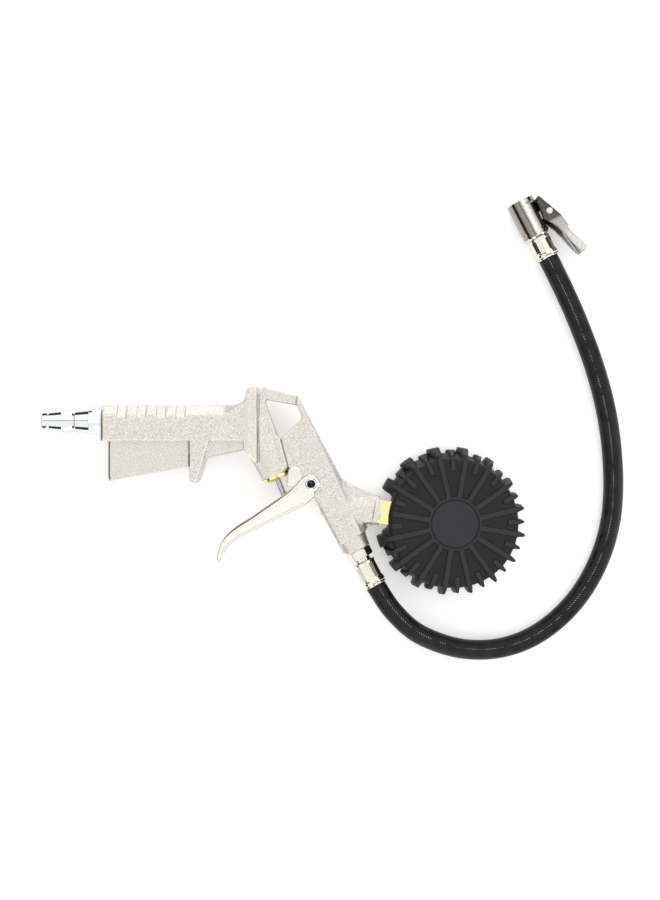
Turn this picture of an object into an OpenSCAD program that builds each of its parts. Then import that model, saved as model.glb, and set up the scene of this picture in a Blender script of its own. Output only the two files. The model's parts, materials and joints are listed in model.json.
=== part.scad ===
// Tyre inflator: a die-cast pistol with a lever valve, a gauge in a rubber boot,
// and a hose with a clip-on chuck. It lies on its side, as on a bench.
// Design frame: X runs along the grip, away from the air inlet, with 0 where the valve column begins.
// Y points up the back of the grip, with 0 on the air passage. Z crosses the body, with 0 on the floor.

/* [Grip] */
// Length of the grip from the inlet face to the valve column
grip_len = 88; // [84:1:110]
// Thickness of the grip from side to side
grip_thick = 29; // [26:0.5:35]
// Height of the grip's back above the air passage
grip_back = 9.4; // [9:0.1:12]
// Depth of the grip's flat side below the air passage
grip_face = 12; // [11:0.5:14]
// How far the bevel along the back reaches down the side
bevel_down = 6; // [3:0.5:7]
// How far the bevel along the back reaches into the thickness
bevel_in = 5.5; // [3:0.5:7]
// Number of grooves across the bevel
groove_count = 4; // [2:1:5]
// Distance from one groove to the next
groove_pitch = 11.6; // [10:0.1:13]
// Width of a groove
groove_width = 5.6; // [3:0.1:7]
// Length of the skirt that fills the hand
skirt_len = 47.8; // [40:0.1:50]
// Depth of the skirt at the inlet end, below the air passage
skirt_deep = 36.3; // [30:0.1:45]
// Depth of the skirt at the trigger end
skirt_shallow = 27.8; // [22:0.1:34]
// Thickness of the skirt
skirt_thick = 22; // [18:0.5:26]
// Depth of the finger stop, below the air passage
stop_deep = 37.4; // [30:0.1:44]
// Width of the finger stop where it leaves the grip
stop_width = 11.5; // [8:0.1:14]

/* [Head] */
// Radius of the valve column
column_r = 8.7; // [8.4:0.1:10]
// Lean of the valve column away from the grip's normal
column_lean = 23; // [20:0.5:26]
// Height of the head's top edge above the air passage
head_top = 20.5; // [18:0.1:24]
// Lean of the barrel away from the grip's normal
barrel_lean = 27.4; // [25:0.1:30]
// Length of the barrel below the level of the trigger pivot
barrel_reach = 48; // [46:0.5:60]
// Thickness of the barrel from side to side
barrel_thick = 17; // [14:0.5:20]
// Distance from the trigger pivot to the barrel's axis
pivot_offset = 6.1; // [5.5:0.1:7]
// Radius of the boss around the trigger pivot
boss_r = 5.5; // [5:0.1:6]
// Distance along the barrel from the pivot's level to the gauge branch
branch_at = 16.5; // [14:0.5:22]
// Slope of the gauge branch
branch_slope = -9.3; // [-14:0.1:-6]
// Length of the gauge branch from the barrel's axis
branch_len = 27.4; // [25:0.1:40]
// Radius of the gauge branch
branch_r = 7.8; // [7.2:0.1:8.2]
// Radius of the barrel's and the branch's air passages
passage_r = 2.6; // [2:0.1:3]

/* [Inlet plug] */
// Length of the plug outside the grip
plug_len = 37; // [32:0.5:44]
// Radius of the plug's nose
plug_nose_r = 6.4; // [5.8:0.1:7]
// Radius of the plug's sealing land
plug_land_r = 7.5; // [7.2:0.1:8]
// Across the flats of the plug's hexagon
plug_flats = 16; // [15:0.5:18]
// Radius of the plug's threaded shank
shank_r = 6.2; // [5.5:0.1:6.6]
// Radius of the air hole through the plug
plug_bore_r = 3.6; // [2.5:0.1:4]

/* [Valve] */
// Radius of the valve stem
stem_r = 1.75; // [1.5:0.05:2]
// Radial running clearance of the stem in its guides
stem_clear = 0.06; // [0.03:0.01:0.09]
// Radius of the thread that holds the packing nut
nut_thread_r = 6; // [5.8:0.1:6.3]
// Height of the packing nut's rim outside the column
nut_rim = 2.8; // [2:0.1:3.5]
// Distance from the column's foot to the valve seat
seat_at = 22; // [20:0.5:24]
// Lift of the valve at full pull
valve_lift = 3.8; // [3:0.1:4]
// Diameter of the valve spring's wire
valve_wire = 0.8; // [0.6:0.05:1]

/* [Trigger] */
// Thickness of the trigger's sheet
trigger_sheet = 1.6; // [1.2:0.1:2]
// Clearance between the trigger's cheeks and the barrel
cheek_clear = 0.35; // [0.25:0.05:0.6]
// Outer radius of the tubular pivot pin
pin_r = 2.6; // [2.2:0.1:3]
// Inner radius of the tubular pivot pin
pin_hole_r = 1.9; // [1:0.1:2]
// Radial running clearance of the trigger on its pin
pin_clear = 0.06; // [0.03:0.01:0.09]

/* [Hose] */
// Outer diameter of the hose
hose_d = 12; // [11:0.2:12.6]
// Across the flats of the hose nut
hose_nut_flats = 14; // [13.5:0.5:16]
// Length of the hose nut's hexagon
hose_nut_len = 5.5; // [4:0.5:8]
// Length of the ferrule on the gun's end of the hose
ferrule_len = 15.8; // [14:0.1:18]
// Wall of the crimped ferrules
ferrule_wall = 0.9; // [0.7:0.1:1.2]

/* [Gauge] */
// Radius of the gauge case
case_r = 34.5; // [32:0.5:36]
// Sheet thickness of the case and its ring
case_sheet = 0.9; // [0.7:0.1:1.2]
// Distance from the stem's axis to the back of the boot
boot_back = 13; // [12:0.5:15]
// Distance from the stem's axis to the boot's front lip, which rests on the floor
boot_front = 16; // [15.5:0.5:20]
// Wall of the rubber boot
boot_wall = 3; // [2.5:0.1:4]
// Largest radius, over the tread lugs
boot_lug_r = 44.5; // [43.5:0.5:50]
// Number of tread lugs around the boot
lug_count = 32; // [24:2:36]
// Distance from the branch's end to the gauge's axis
gauge_gap = 45.7; // [44:0.1:52]
// Across the flats of the gauge's brass stem
gauge_flats = 14; // [12:0.5:15]
// Thickness of the lens
lens_thick = 2; // [1.5:0.1:2.2]
// Radius of the bent pressure tube, to its middle
tube_bend_r = 25; // [24:0.1:25.5]

/* [Gauge movement] */
// Module of the movement's gears
gear_module = 0.35; // [0.3:0.01:0.36]
// Teeth on the pointer's pinion
pinion_teeth = 9; // [8:1:9]
// Teeth that the sector would have as a full wheel
sector_teeth = 81; // [72:1:81]
// Thickness of the sector
sector_thick = 1; // [0.8:0.1:1.2]
// Radius of the pointer's arbor
arbor_r = 0.8; // [0.6:0.05:0.9]
// Running clearance of the arbors
arbor_clear = 0.05; // [0.03:0.01:0.08]

/* [Chuck] */
// Radius of the chuck's body
chuck_r = 8.4; // [8:0.1:9]
// Height of the chuck's axis above the floor
chuck_z = 8.8; // [8.6:0.1:12]
// Length of the crimped ferrule on the chuck
chuck_ferrule_len = 13.5; // [12:0.1:16]
// Length of the chuck from the hose to its mouth
chuck_len = 38; // [36:0.5:44]
// Radius of the socket that takes a tyre valve
socket_r = 4.1; // [3.95:0.05:4.3]
// Depth of the socket
socket_depth = 14; // [12:0.5:15]
// Thickness of the lever's sheet
lever_sheet = 1.2; // [1:0.1:1.5]
// Radius of the lever's pin
lever_pin_r = 1.2; // [1:0.05:1.4]

/* [Fits] */
// Gap between parts that are screwed or pressed together
seat_gap = 0.03; // [0.02:0.01:0.05]
// Gap between parts that only pass each other
free_gap = 0.3; // [0.2:0.05:0.4]

/* [Hidden] */
$fn = 48;
joint = 0.01;
big = 200;

// Places in the design frame, with Z measured from the body's middle
barrel_dir = [sin(barrel_lean), -cos(barrel_lean)];
barrel_side = [cos(barrel_lean), sin(barrel_lean)];
branch_dir = [cos(branch_slope), sin(branch_slope)];
pivot = [36.4, -37.6];
level = pivot + pivot_offset * barrel_side;
column_foot = [15, -32.6];
branch_root = level + branch_at * barrel_dir;
branch_end = branch_root + branch_len * branch_dir;
gauge_centre = branch_end + gauge_gap * branch_dir;
barrel_end = level + barrel_reach * barrel_dir;
nipple_gap = 2.2;
hose_exit_at = hose_nut_len + nipple_gap + ferrule_len;
hose_exit = barrel_end + hose_exit_at * barrel_dir;

// The row's origin is the middle of the gun's own box, on the floor
gun_left = -grip_len - plug_len;
gun_right = gauge_centre[0] + boot_lug_r;
gun_low = gauge_centre[1] - boot_lug_r;
origin = [(gun_left + gun_right) / 2, (gun_low + head_top) / 2];
middle_z = boot_front;

// The hose's route on the floor: from its exit on the gun, with the height above the floor
hose_r = hose_d / 2;
hose_route = [
    [0, 0, 16], [10, -15, 15.6], [23.5, -28, 13.6], [40, -36, 11], [57, -40, 8.4],
    [75.5, -39.5, 6.6], [93, -34, 6.1], [108.5, -24, 6.1], [121.5, -11, 6.1], [131.5, 4, 6.1],
    [139, 21, 6.1], [143.5, 39, 6.1], [145, 57, 6.1], [144.5, 75.5, 6.1], [142.5, 94, 6.1],
    [139, 112, 6.1], [134, 130, 6.1], [128, 147, 6.4], [121, 164, 7.3], [113.5, 180, 8.4],
    [105, 197, 8.8]
];
route_last = len(hose_route) - 1;
chuck_turn = 117;

// Grip
skirt_x = -grip_len + 4;
stop_x = skirt_x + skirt_len + 1;
saddle_r = 10.5;
neck_thick = 22;
neck_deep = 22.7;
neck_rise = 5.3;
facet_run = 4.6;

// Valve, along the column from its foot
nut_thread_len = 7.5;
chamber_r = 5.65;
spring_room_r = 4.8;
seat_thick = 4;
seal_thick = 1;
poppet_thick = 2;
poppet_r = 3.9;
outlet_at = 13.5;
stem_gap = 0.35;
poppet_at = seat_at + 0.05 + seal_thick;
spring_from = poppet_at + poppet_thick + 0.05;
spring_turns = 7;
spring_spare = 5.7;
chamber_top = spring_from + (spring_turns + 1) * valve_wire + valve_lift + spring_spare;
spring_to = chamber_top - 0.05;
spring_r = 3.2;
ring_wire = 1.8;

// Trigger, from its pivot
cheek_in = barrel_thick / 2 + cheek_clear;
trigger_half = cheek_in + trigger_sheet;
trigger_top = [[-4.2, 4.3], [-18.2, -6.4], [-33.9, -17.3], [-46.2, -26.2], [-53.4, -34.4], [-56.3, -43.1]];
trigger_tip = [-55.3, -48.5];
trigger_low = [[2, -7.8], [-4.3, -13.2], [-18.1, -20.1], [-37.7, -29.9], [-45, -34.1], [-50.3, -39.8]];
rivet_head = 0.9;

// The stem ends just short of the trigger's web
column_down = [sin(column_lean), -cos(column_lean)];
web_run = unit(trigger_low[1] - trigger_low[2]);
web_normal = [-web_run[1], web_run[0]];
web_point = pivot + trigger_low[1] + trigger_sheet * web_normal;
trigger_floor = (web_point - column_foot) * web_normal / (column_down * web_normal);
stem_reach = trigger_floor - stem_gap;

// Gauge, along Z from the stem's axis
boot_back_wall = 2.5;
case_back = boot_back - boot_back_wall - 0.1;
case_front = -10.2;
lens_back = case_front - 0.8;
lens_front = lens_back - lens_thick;
ring_front = lens_front - case_sheet - 0.05;
lip_r = case_r - 3;
boot_r = case_r + boot_wall;
ring_r = case_r + 0.05 + case_sheet;
dial_r = lip_r - 1;
dial_z = -8.2;
dial_thick = 0.8;
pointer_z = -9.9;
pointer_thick = 0.6;
block_x = -(case_r - case_sheet) + 1.4;
block_len = 9;
pad_z = 1;
plate_thick = 1;
front_plate_z = -6;
plate_low = -6;
plate_half = 8;
gear_distance = gear_module * (pinion_teeth + sector_teeth) / 2;
gear_clear = 0.02;
sector_pivot = [0, gear_distance + gear_clear];
plate_high = gear_distance + 4.2;
sector_z = -2.6;
sector_swing = 30;
pillar_r = 1.3;
screw_r = 0.8;
tube_start = 201;
tube_end = 480;
tail_r = 4;
tail_angle = 190;
link_z = -0.9;

// Chuck, along its axis from the hose
ferrule_bore_r = hose_r + 0.05;
ferrule_r = ferrule_bore_r + ferrule_wall;
flange_at = chuck_ferrule_len + 1.5;
flange_len = 2.5;
body_at = flange_at + flange_len;
lever_pivot = [24.6, 12];
lever_half = 7.2;
ear_wall = 0.6;
ear_half = lever_half - lever_sheet - 0.25;
lever_low = [[22, 6.5], [17.5, 10], [14, 11.9], [6.8, 14.2], [1.8, 15.4], [-6, 18.2]];
lever_high = [[-5.5, 23.2], [10.5, 17.9], [12, 18.8], [19.4, 17.6], [35.9, 10.6]];

function unit(v) = v / norm(v);

// Points of a line moved sideways by d, each along the bisector of its two neighbours' directions
function line_dir(p, i) = unit(p[min(i + 1, len(p) - 1)] - p[max(i - 1, 0)]);
function moved(p, d) = [for (i = [0:len(p) - 1]) p[i] + d * [-line_dir(p, i)[1], line_dir(p, i)[0]]];
function reversed(p) = [for (i = [len(p) - 1:-1:0]) p[i]];

// Frames
module placed() {
    translate([-origin[0], -origin[1], middle_z])
        children();
}

module at_barrel(u = 0) {
    translate([level[0] + u * barrel_dir[0], level[1] + u * barrel_dir[1], 0])
        rotate([0, 0, barrel_lean - 90])
            children();
}

module at_column(s = 0) {
    translate([column_foot[0], column_foot[1], 0])
        rotate([0, 0, column_lean])
            translate([0, s, 0])
                children();
}

module at_branch(t = 0) {
    translate([branch_root[0], branch_root[1], 0])
        rotate([0, 0, branch_slope])
            translate([t, 0, 0])
                children();
}

module at_gauge() {
    translate([gauge_centre[0], gauge_centre[1], 0])
        rotate([0, 0, branch_slope])
            children();
}

module at_pivot() {
    translate([pivot[0], pivot[1], 0])
        children();
}

module at_chuck() {
    last = hose_route[route_last];
    translate([hose_exit[0] + last[0], hose_exit[1] + last[1], chuck_z - middle_z])
        rotate([0, 0, chuck_turn])
            children();
}

// A cylinder along X, and one along Y
module rod_x(r, from, to) {
    translate([from, 0, 0])
        rotate([0, 90, 0])
            cylinder(r = r, h = to - from);
}

module rod_y(r, from, to) {
    translate([0, from, 0])
        rotate([-90, 0, 0])
            cylinder(r = r, h = to - from);
}

module plug_hex(flats, from, to) {
    translate([from, 0, 0])
        rotate([0, 90, 0])
            cylinder(r = flats / 2 / cos(30), h = to - from, $fn = 6);
}

module slab(thick) {
    translate([0, 0, -thick / 2])
        linear_extrude(height = thick)
            children();
}

// The turned piece of a list of [place, radius], along X
module turned(outline) {
    rotate([0, 90, 0])
        rotate_extrude()
            polygon(concat([[0, outline[0][0]]], [for (p = outline) [p[1], p[0]]],
                [[0, outline[len(outline) - 1][0]]]));
}

// A round wire along a list of points, closed at both ends
module wire(points, r, sides) {
    last = len(points) - 1;
    rings = [
        for (i = [0:last])
            let (
                t = unit(points[min(i + 1, last)] - points[max(i - 1, 0)]),
                a = unit(cross(t, [0, 0, 1])),
                b = cross(a, t)
            )
            for (k = [0:sides - 1])
                points[i] + r * (cos(360 * k / sides) * a + sin(360 * k / sides) * b)
    ];
    walls = [
        for (i = [0:last - 1])
            for (k = [0:sides - 1])
                let (n = (k + 1) % sides)
                each [
                    [i * sides + k, i * sides + n, (i + 1) * sides + n],
                    [i * sides + k, (i + 1) * sides + n, (i + 1) * sides + k]
                ]
    ];
    first_cap = [for (k = [sides - 1:-1:0]) k];
    last_cap = [for (k = [0:sides - 1]) last * sides + k];
    polyhedron(points = rings, faces = concat([first_cap], [for (f = walls) [f[0], f[1], f[2]]], [last_cap]));
}

// Gun body: one aluminium casting
module saddle_2d() {
    difference() {
        translate([-saddle_r, grip_back - joint])
            square([saddle_r, head_top - 0.8 - grip_back]);
        translate([-saddle_r, grip_back + saddle_r])
            circle(r = saddle_r);
    }
}

module back_bevel(side) {
    half = grip_thick / 2;
    translate([-grip_len - 1, 0, 0])
        rotate([90, 0, 90])
            linear_extrude(height = grip_len - saddle_r + 1)
                polygon([
                    [grip_back - bevel_down, side * (half + joint)],
                    [grip_back + joint, side * (half - bevel_in)],
                    [grip_back + 1, side * (half + 1)]
                ]);
}

// A place on the bevel's section: u down the slope from its top edge, and d into the metal
bevel_run = norm([bevel_down, bevel_in]);
function on_bevel(u, d, side) = [
    grip_back - (u * bevel_down + d * bevel_in) / bevel_run,
    side * (grip_thick / 2 - bevel_in + (u * bevel_in - d * bevel_down) / bevel_run)
];

module grooves() {
    deep = 1.4;
    for (i = [0:groove_count - 1])
        for (side = [-1, 1])
            translate([-grip_len + 9.9 + i * groove_pitch, 0, 0])
                rotate([90, 0, 90])
                    linear_extrude(height = groove_width)
                        polygon([
                            on_bevel(-3, deep, side), on_bevel(bevel_run + 3, deep, side),
                            on_bevel(bevel_run + 3, -3, side), on_bevel(-3, -3, side)
                        ]);
}

module grip() {
    difference() {
        union() {
            translate([-grip_len, -grip_face, -grip_thick / 2])
                cube([grip_len, grip_face + grip_back, grip_thick]);
            slab(grip_thick)
                saddle_2d();
            slab(grip_thick)
                polygon([
                    [stop_x, -grip_face + 1], [stop_x, -stop_deep + 2.3],
                    [stop_x + 3.2, -stop_deep], [stop_x + stop_width, -grip_face + 1]
                ]);
        }
        for (side = [-1, 1])
            back_bevel(side);
        grooves();
    }
    slab(skirt_thick)
        polygon([
            [skirt_x, -grip_face + 1], [skirt_x, -skirt_deep],
            [skirt_x + skirt_len, -skirt_shallow], [skirt_x + skirt_len, -grip_face + 1]
        ]);
    translate([0, -grip_face - 1, 0])
        slab(skirt_thick - 2)
            square_from(skirt_x + skirt_len - 1, stop_x + 1, -8, 2);
    slab(neck_thick)
        polygon([
            [stop_x + 4, -grip_face + 1], [stop_x + 8.5, -neck_deep],
            [-3.6, -neck_deep + neck_rise], [0, -grip_face + 1]
        ]);
}

module square_from(x0, x1, y0, y1) {
    translate([x0, y0])
        square([x1 - x0, y1 - y0]);
}

// Slanting facet where the thick grip drops to the column
module facet() {
    half = grip_thick / 2;
    translate([0, head_top - 0.8, 0])
        rotate([90, 0, 0])
            linear_extrude(height = head_top + grip_face - 2.5)
                polygon([
                    [-1, -half], [0, -half], [facet_run, -half + 4.5], [facet_run, half - 4.5],
                    [0, half], [-1, half]
                ]);
}

module column() {
    difference() {
        at_column()
            rod_y(column_r, 0, 70);
        translate([-big / 2, head_top, -big / 2])
            cube([big, big, big]);
        translate([-big - 1, grip_back - 1, -big / 2])
            cube([big, big, big]);
    }
    slab(2 * column_r - 2)
        polygon([
            [-2, head_top - 0.9], [0.5, head_top], [7, head_top], [13, -18],
            column_foot - [cos(column_lean), sin(column_lean)] * (column_r - 1.2) - 5 * column_down, [-3, -16]
        ]);
}

// Outline of the barrel, along its own axis
module barrel_2d() {
    polygon([
        [-50.4, 11.1], [6, 11.6], [41, 10.4], [barrel_reach - 2.5, 8.8], [barrel_reach, 8],
        [barrel_reach, -8], [barrel_reach - 3, -8.5], [8, -8.6], [-10, -10], [-34, -14.5], [-34, -9],
        [-36.3, 5], [-39.5, 6.9], [-46, 7.6]
    ]);
}

module strap_2d() {
    polygon([
        [4, head_top], [7, head_top], [28.5, 15.2], [30, 11], [27, 9.4], [6, 11.6]
    ]);
}

module pivot_web_2d() {
    polygon([
        [16, -12], [30, -2], [40, -20], pivot + [0, -boss_r], pivot + [-boss_r + 0.3, 1.5],
        [32.6, -34.2], [30.9, -31.8], [27.2, -27.3], [23, -29.4], [18, -26]
    ]);
}

module body_solid() {
    grip();
    facet();
    column();
    at_barrel()
        slab(barrel_thick)
            barrel_2d();
    slab(barrel_thick - 3)
        strap_2d();
    slab(barrel_thick - 0.8)
        pivot_web_2d();
    at_pivot()
        cylinder(r = boss_r, h = barrel_thick - 0.4, center = true);
    at_branch()
        rod_x(branch_r, 0, branch_len);
    at_branch()
        slab(2 * branch_r - 3)
            polygon([[-4, 8], [7, 13.5], [branch_len - 1, branch_r - 0.2], [branch_len - 1, -branch_r + 0.4], [0, -12]]);
    at_branch()
        slab(3)
            polygon([[4, -4], [branch_len - 0.5, -branch_r + 1], [15, -15.5], [6, -20]]);
}

module gun_body() {
    color("#e3ddd2")
        placed()
            difference() {
                body_solid();
                // hang hole
                slab(barrel_thick * 2)
                    polygon([[8.9, 12.2], [27.4, 9.8], [30, 3.4], [30, -0.2], [19.3, -10.4], [17, -9.5]]);
                // threaded inlet and the passage to the spring's room
                translate([-grip_len, 0, 0])
                    rod_x(shank_r + seat_gap, -1, 13);
                translate([-grip_len, 0, 0])
                    rod_x(passage_r + 1.4, -1, grip_len + 1);
                // valve chamber
                at_column()
                    rod_y(nut_thread_r + seat_gap, -1, nut_thread_len);
                at_column()
                    rod_y(chamber_r, -1, seat_at);
                at_column()
                    rod_y(spring_room_r, 1, chamber_top);
                // passage from the valve to the barrel
                at_column(outlet_at)
                    rotate([0, 0, -column_lean])
                        rod_x(passage_r - 0.2, 0, 27);
                // barrel, gauge branch and their threads
                at_barrel()
                    rod_x(passage_r, -19, barrel_reach + 1);
                at_barrel()
                    rod_x(nipple_thread_r + seat_gap, barrel_reach - nipple_thread_len - 0.5, barrel_reach + 1);
                at_branch()
                    rod_x(passage_r - 0.4, -1, branch_len + 1);
                at_branch()
                    rod_x(stem_thread_r + seat_gap, branch_len - stem_thread_len - 0.5, branch_len + 1);
                // trigger pin
                at_pivot()
                    cylinder(r = pin_r + seat_gap, h = barrel_thick * 2, center = true);
            }
}

// Inlet plug: a turned steel quick-connect nipple
plug_hex_len = 7.5;
shank_len = 11;
washer_thick = 0.6;
plug_outline = [
    [-plug_len, plug_nose_r - 1], [-plug_len + 1, plug_nose_r], [-plug_len + 5, plug_nose_r],
    [-plug_len + 12.5, plug_land_r], [-plug_len + 15, plug_land_r], [-plug_len + 16, plug_land_r - 0.3],
    [-plug_len + 18.6, plug_nose_r + 0.05], [-plug_len + 20.3, plug_nose_r + 0.35],
    [-plug_len + 20.6, plug_land_r - 0.3], [-plug_hex_len - washer_thick, plug_flats / 2 + 0.2]
];

module inlet_plug() {
    color("#dfe2e4")
        placed()
            translate([-grip_len, 0, 0])
                difference() {
                    union() {
                        turned(plug_outline);
                        intersection() {
                            plug_hex(plug_flats, -plug_hex_len - washer_thick, -washer_thick);
                            rod_x(plug_flats / 2 + 0.7, -plug_hex_len - 1, 0);
                        }
                        rod_x(shank_r, -washer_thick - 1, shank_len);
                    }
                    rod_x(plug_bore_r, -plug_len - 1, shank_len + 1);
                }
}

module inlet_washer() {
    color("#2a2a2b")
        placed()
            translate([-grip_len, 0, 0])
                difference() {
                    rod_x(plug_flats / 2 + 0.2, -washer_thick, 0);
                    rod_x(shank_r + seat_gap, -1, 1);
                }
}

// Valve
module valve_seat() {
    color("#d9a93c")
        placed()
            at_column()
                difference() {
                    rod_y(chamber_r - seat_gap, seat_at - seat_thick, seat_at - 0.4);
                    rod_y(2.9, seat_at - seat_thick - 1, seat_at + 1);
                }
}

module valve_stem() {
    color("#c9ccd0")
        placed()
            at_column()
                union() {
                    rod_y(stem_r, -stem_reach + stem_r, poppet_at + 0.5);
                    translate([0, -stem_reach + stem_r, 0])
                        sphere(r = stem_r);
                    rod_y(poppet_r, poppet_at, poppet_at + poppet_thick);
                    rod_y(spring_r - valve_wire, poppet_at + poppet_thick - 0.5, poppet_at + poppet_thick + 2);
                }
}

module valve_seal() {
    color("#232325")
        placed()
            at_column()
                difference() {
                    rod_y(poppet_r - 0.2, poppet_at - seal_thick - 0.4, poppet_at);
                    rod_y(stem_r + seat_gap, poppet_at - seal_thick - 2, poppet_at + 1);
                }
}

module valve_spring() {
    steps = 12 * spring_turns;
    rise = spring_to - spring_from - valve_wire;
    color("#b9bcc0")
        placed()
            at_column(spring_from + valve_wire / 2)
                rotate([-90, 0, 0])
                    wire([for (i = [0:steps]) [
                        spring_r * cos(30 * i), spring_r * sin(30 * i), rise * i / steps
                    ]], valve_wire / 2, 6);
}

ring_room_r = stem_r + ring_wire;
module packing_nut() {
    color("#e3b34a")
        placed()
            at_column()
                difference() {
                    union() {
                        rod_y(nut_thread_r, -1, nut_thread_len - 0.2);
                        intersection() {
                            rod_y(column_r - 0.6, -nut_rim, 0);
                            rotate([-90, 0, 0])
                                translate([0, 0, -nut_rim])
                                    cylinder(r1 = column_r - 1.8, r2 = column_r + 1, h = nut_rim + 0.01);
                        }
                    }
                    rod_y(stem_r + stem_clear, -nut_rim - 1, nut_thread_len + 1);
                    rod_y(ring_room_r + seat_gap, nut_thread_len - 0.2 - ring_wire, nut_thread_len + 1);
                }
}

module packing_ring() {
    color("#1d1d1f")
        placed()
            at_column(nut_thread_len - 0.2 - ring_wire / 2)
                rotate([-90, 0, 0])
                    rotate_extrude()
                        translate([stem_r + ring_wire / 2 + 0.03, 0])
                            circle(r = ring_wire / 2 - 0.03);
}

// Trigger: a bent channel with its open side towards the grip
module trigger_outline() {
    polygon(concat(trigger_top, [trigger_tip], reversed(trigger_low)));
}

module trigger_web_2d() {
    outer = concat(trigger_low, [trigger_tip]);
    polygon(concat(outer, reversed(moved(outer, -trigger_sheet))));
}

module trigger() {
    color("#f4f0e6")
        placed()
            at_pivot()
                difference() {
                    union() {
                        for (side = [-1, 1])
                            translate([0, 0, side * (cheek_in + trigger_sheet / 2)])
                                slab(trigger_sheet)
                                    union() {
                                        trigger_outline();
                                        circle(r = boss_r);
                                    }
                        intersection() {
                            slab(2 * cheek_in + joint)
                                trigger_web_2d();
                            translate([-big - 2.5, -big / 2, -big / 2])
                                cube([big, big, big]);
                        }
                    }
                    cylinder(r = pin_r + pin_clear, h = big, center = true);
                }
}

module trigger_pin() {
    half = trigger_half + free_gap / 2;
    color("#d4d6d8")
        placed()
            at_pivot()
                difference() {
                    union() {
                        cylinder(r = pin_r, h = 2 * half, center = true);
                        for (side = [-1, 1])
                            translate([0, 0, side * (half + rivet_head / 2)])
                                cylinder(r = pin_r + 1, h = rivet_head, center = true);
                    }
                    cylinder(r = pin_hole_r, h = big, center = true);
                }
}

// Hose end on the gun
nipple_thread_r = 4.9;
nipple_thread_len = 9;
tail_len = 13;
tail_rod_r = 2.9;
nipple_bore_r = 1.8;

module hose_nipple() {
    color("#d9d6ce")
        placed()
            at_barrel(barrel_reach)
                difference() {
                    union() {
                        rod_x(nipple_thread_r, -nipple_thread_len, 1);
                        intersection() {
                            plug_hex(hose_nut_flats, 0, hose_nut_len);
                            rod_x(hose_nut_flats / 2 + 0.9, -1, hose_nut_len + 1);
                        }
                        rod_x(5, hose_nut_len - 1, hose_nut_len + nipple_gap);
                        rod_x(tail_rod_r, hose_nut_len, hose_nut_len + nipple_gap + tail_len);
                    }
                    rod_x(nipple_bore_r, -nipple_thread_len - 1, hose_exit_at + 1);
                }
}

// A ferrule is a cup: its floor bears on the nipple's collar, and the hose ends inside it
module ferrule(length) {
    difference() {
        union() {
            rod_x(ferrule_r, 0, length);
            rod_x(ferrule_r + 0.45, length - 2.6, length - 0.6);
        }
        rod_x(hose_r + 0.02, 1, length + 1);
        rod_x(tail_rod_r + seat_gap, -1, 2);
    }
}

module gun_ferrule() {
    color("#cfcac0")
        placed()
            at_barrel(barrel_reach + hose_nut_len + nipple_gap)
                ferrule(ferrule_len);
}

module hose() {
    color("#2b2b2d")
        placed()
            translate([hose_exit[0], hose_exit[1], -middle_z])
                wire(hose_route, hose_r, 12);
}

// Gauge
stem_thread_r = 4.9;
stem_thread_len = 9;

module gauge_stem() {
    neck_r = 5.4;
    color("#dcae45")
        placed()
            difference() {
                union() {
                    at_branch(branch_len)
                        rod_x(stem_thread_r, -stem_thread_len, 1);
                    at_branch(branch_len)
                        translate([0, -gauge_flats / 2, -gauge_flats / 2])
                            cube([gauge_gap - boot_r - 0.6, gauge_flats, gauge_flats]);
                    at_gauge()
                        rod_x(neck_r, -boot_r - 2, block_x + 1);
                    at_gauge()
                        translate([block_x, -8, -5])
                            cube([block_len, 16, 10]);
                    at_gauge()
                        rotate([0, 0, tube_start])
                            translate([tube_bend_r - 2.2, -4, -5])
                                cube([4.4, 4, 10]);
                    at_gauge()
                        translate([block_x + block_len - 1, -5, pad_z])
                            cube([14, 10, 5 - pad_z]);
                }
                at_branch(branch_len)
                    rod_x(1.6, -stem_thread_len - 1, gauge_gap + block_x + block_len - 2);
                at_gauge()
                    foot_holes();
            }
}

module pressure_tube() {
    color("#c79a45")
        placed()
            at_gauge()
                difference() {
                    union() {
                        rotate([0, 0, tube_start])
                            rotate_extrude(angle = tube_end - tube_start, $fn = 96)
                                difference() {
                                    square_from(tube_bend_r - 1.4, tube_bend_r + 1.4, -4.4, 4.4);
                                    square_from(tube_bend_r - 0.9, tube_bend_r + 0.9, -3.9, 3.9);
                                }
                        rotate([0, 0, tube_end])
                            translate([tube_bend_r - 1.6, -0.6, -4.6])
                                cube([3.2, 2.1, 9.2]);
                        rotate([0, 0, tube_end])
                            translate([tube_bend_r - 7, 0.2, link_z + plate_thick + 0.3])
                                cube([6.5, 2.6, 0.8]);
                    }
                }
}

// Link from the tube's tip to the sector's tail, open at the tip
tail_end = sector_pivot + tail_r * [cos(tail_angle), sin(tail_angle)];
tip_point = (tube_bend_r - 5.5) * [cos(tube_end + 3), sin(tube_end + 3)];
link_span = tip_point - tail_end;

module tube_link() {
    color("#d8d8da")
        placed()
            at_gauge()
                translate([tail_end[0], tail_end[1], link_z])
                    rotate([0, 0, atan2(link_span[1], link_span[0])])
                        difference() {
                            union() {
                                cylinder(r = 1.1, h = 0.8);
                                translate([0, -0.8, 0])
                                    cube([norm(link_span), 1.6, 0.8]);
                                translate([norm(link_span), 0, 0])
                                    cylinder(r = 1.1, h = 0.8);
                            }
                            translate([0, 0, -1])
                                cylinder(r = 0.6 + arbor_clear, h = 3);
                            translate([norm(link_span), 0, -1])
                                cylinder(r = 0.6, h = 3);
                        }
}

module plate_2d() {
    square_from(-plate_half, plate_half, plate_low, plate_high);
    square_from(-20, -plate_half + 1, -4.6, 4.6);
}

pillars = [[-plate_half + 2, plate_low + 2], [plate_half - 2, plate_high - 2.2], [plate_half - 2, plate_low + 2]];
feet = [[-18, 0], [-13, 0]];

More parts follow.
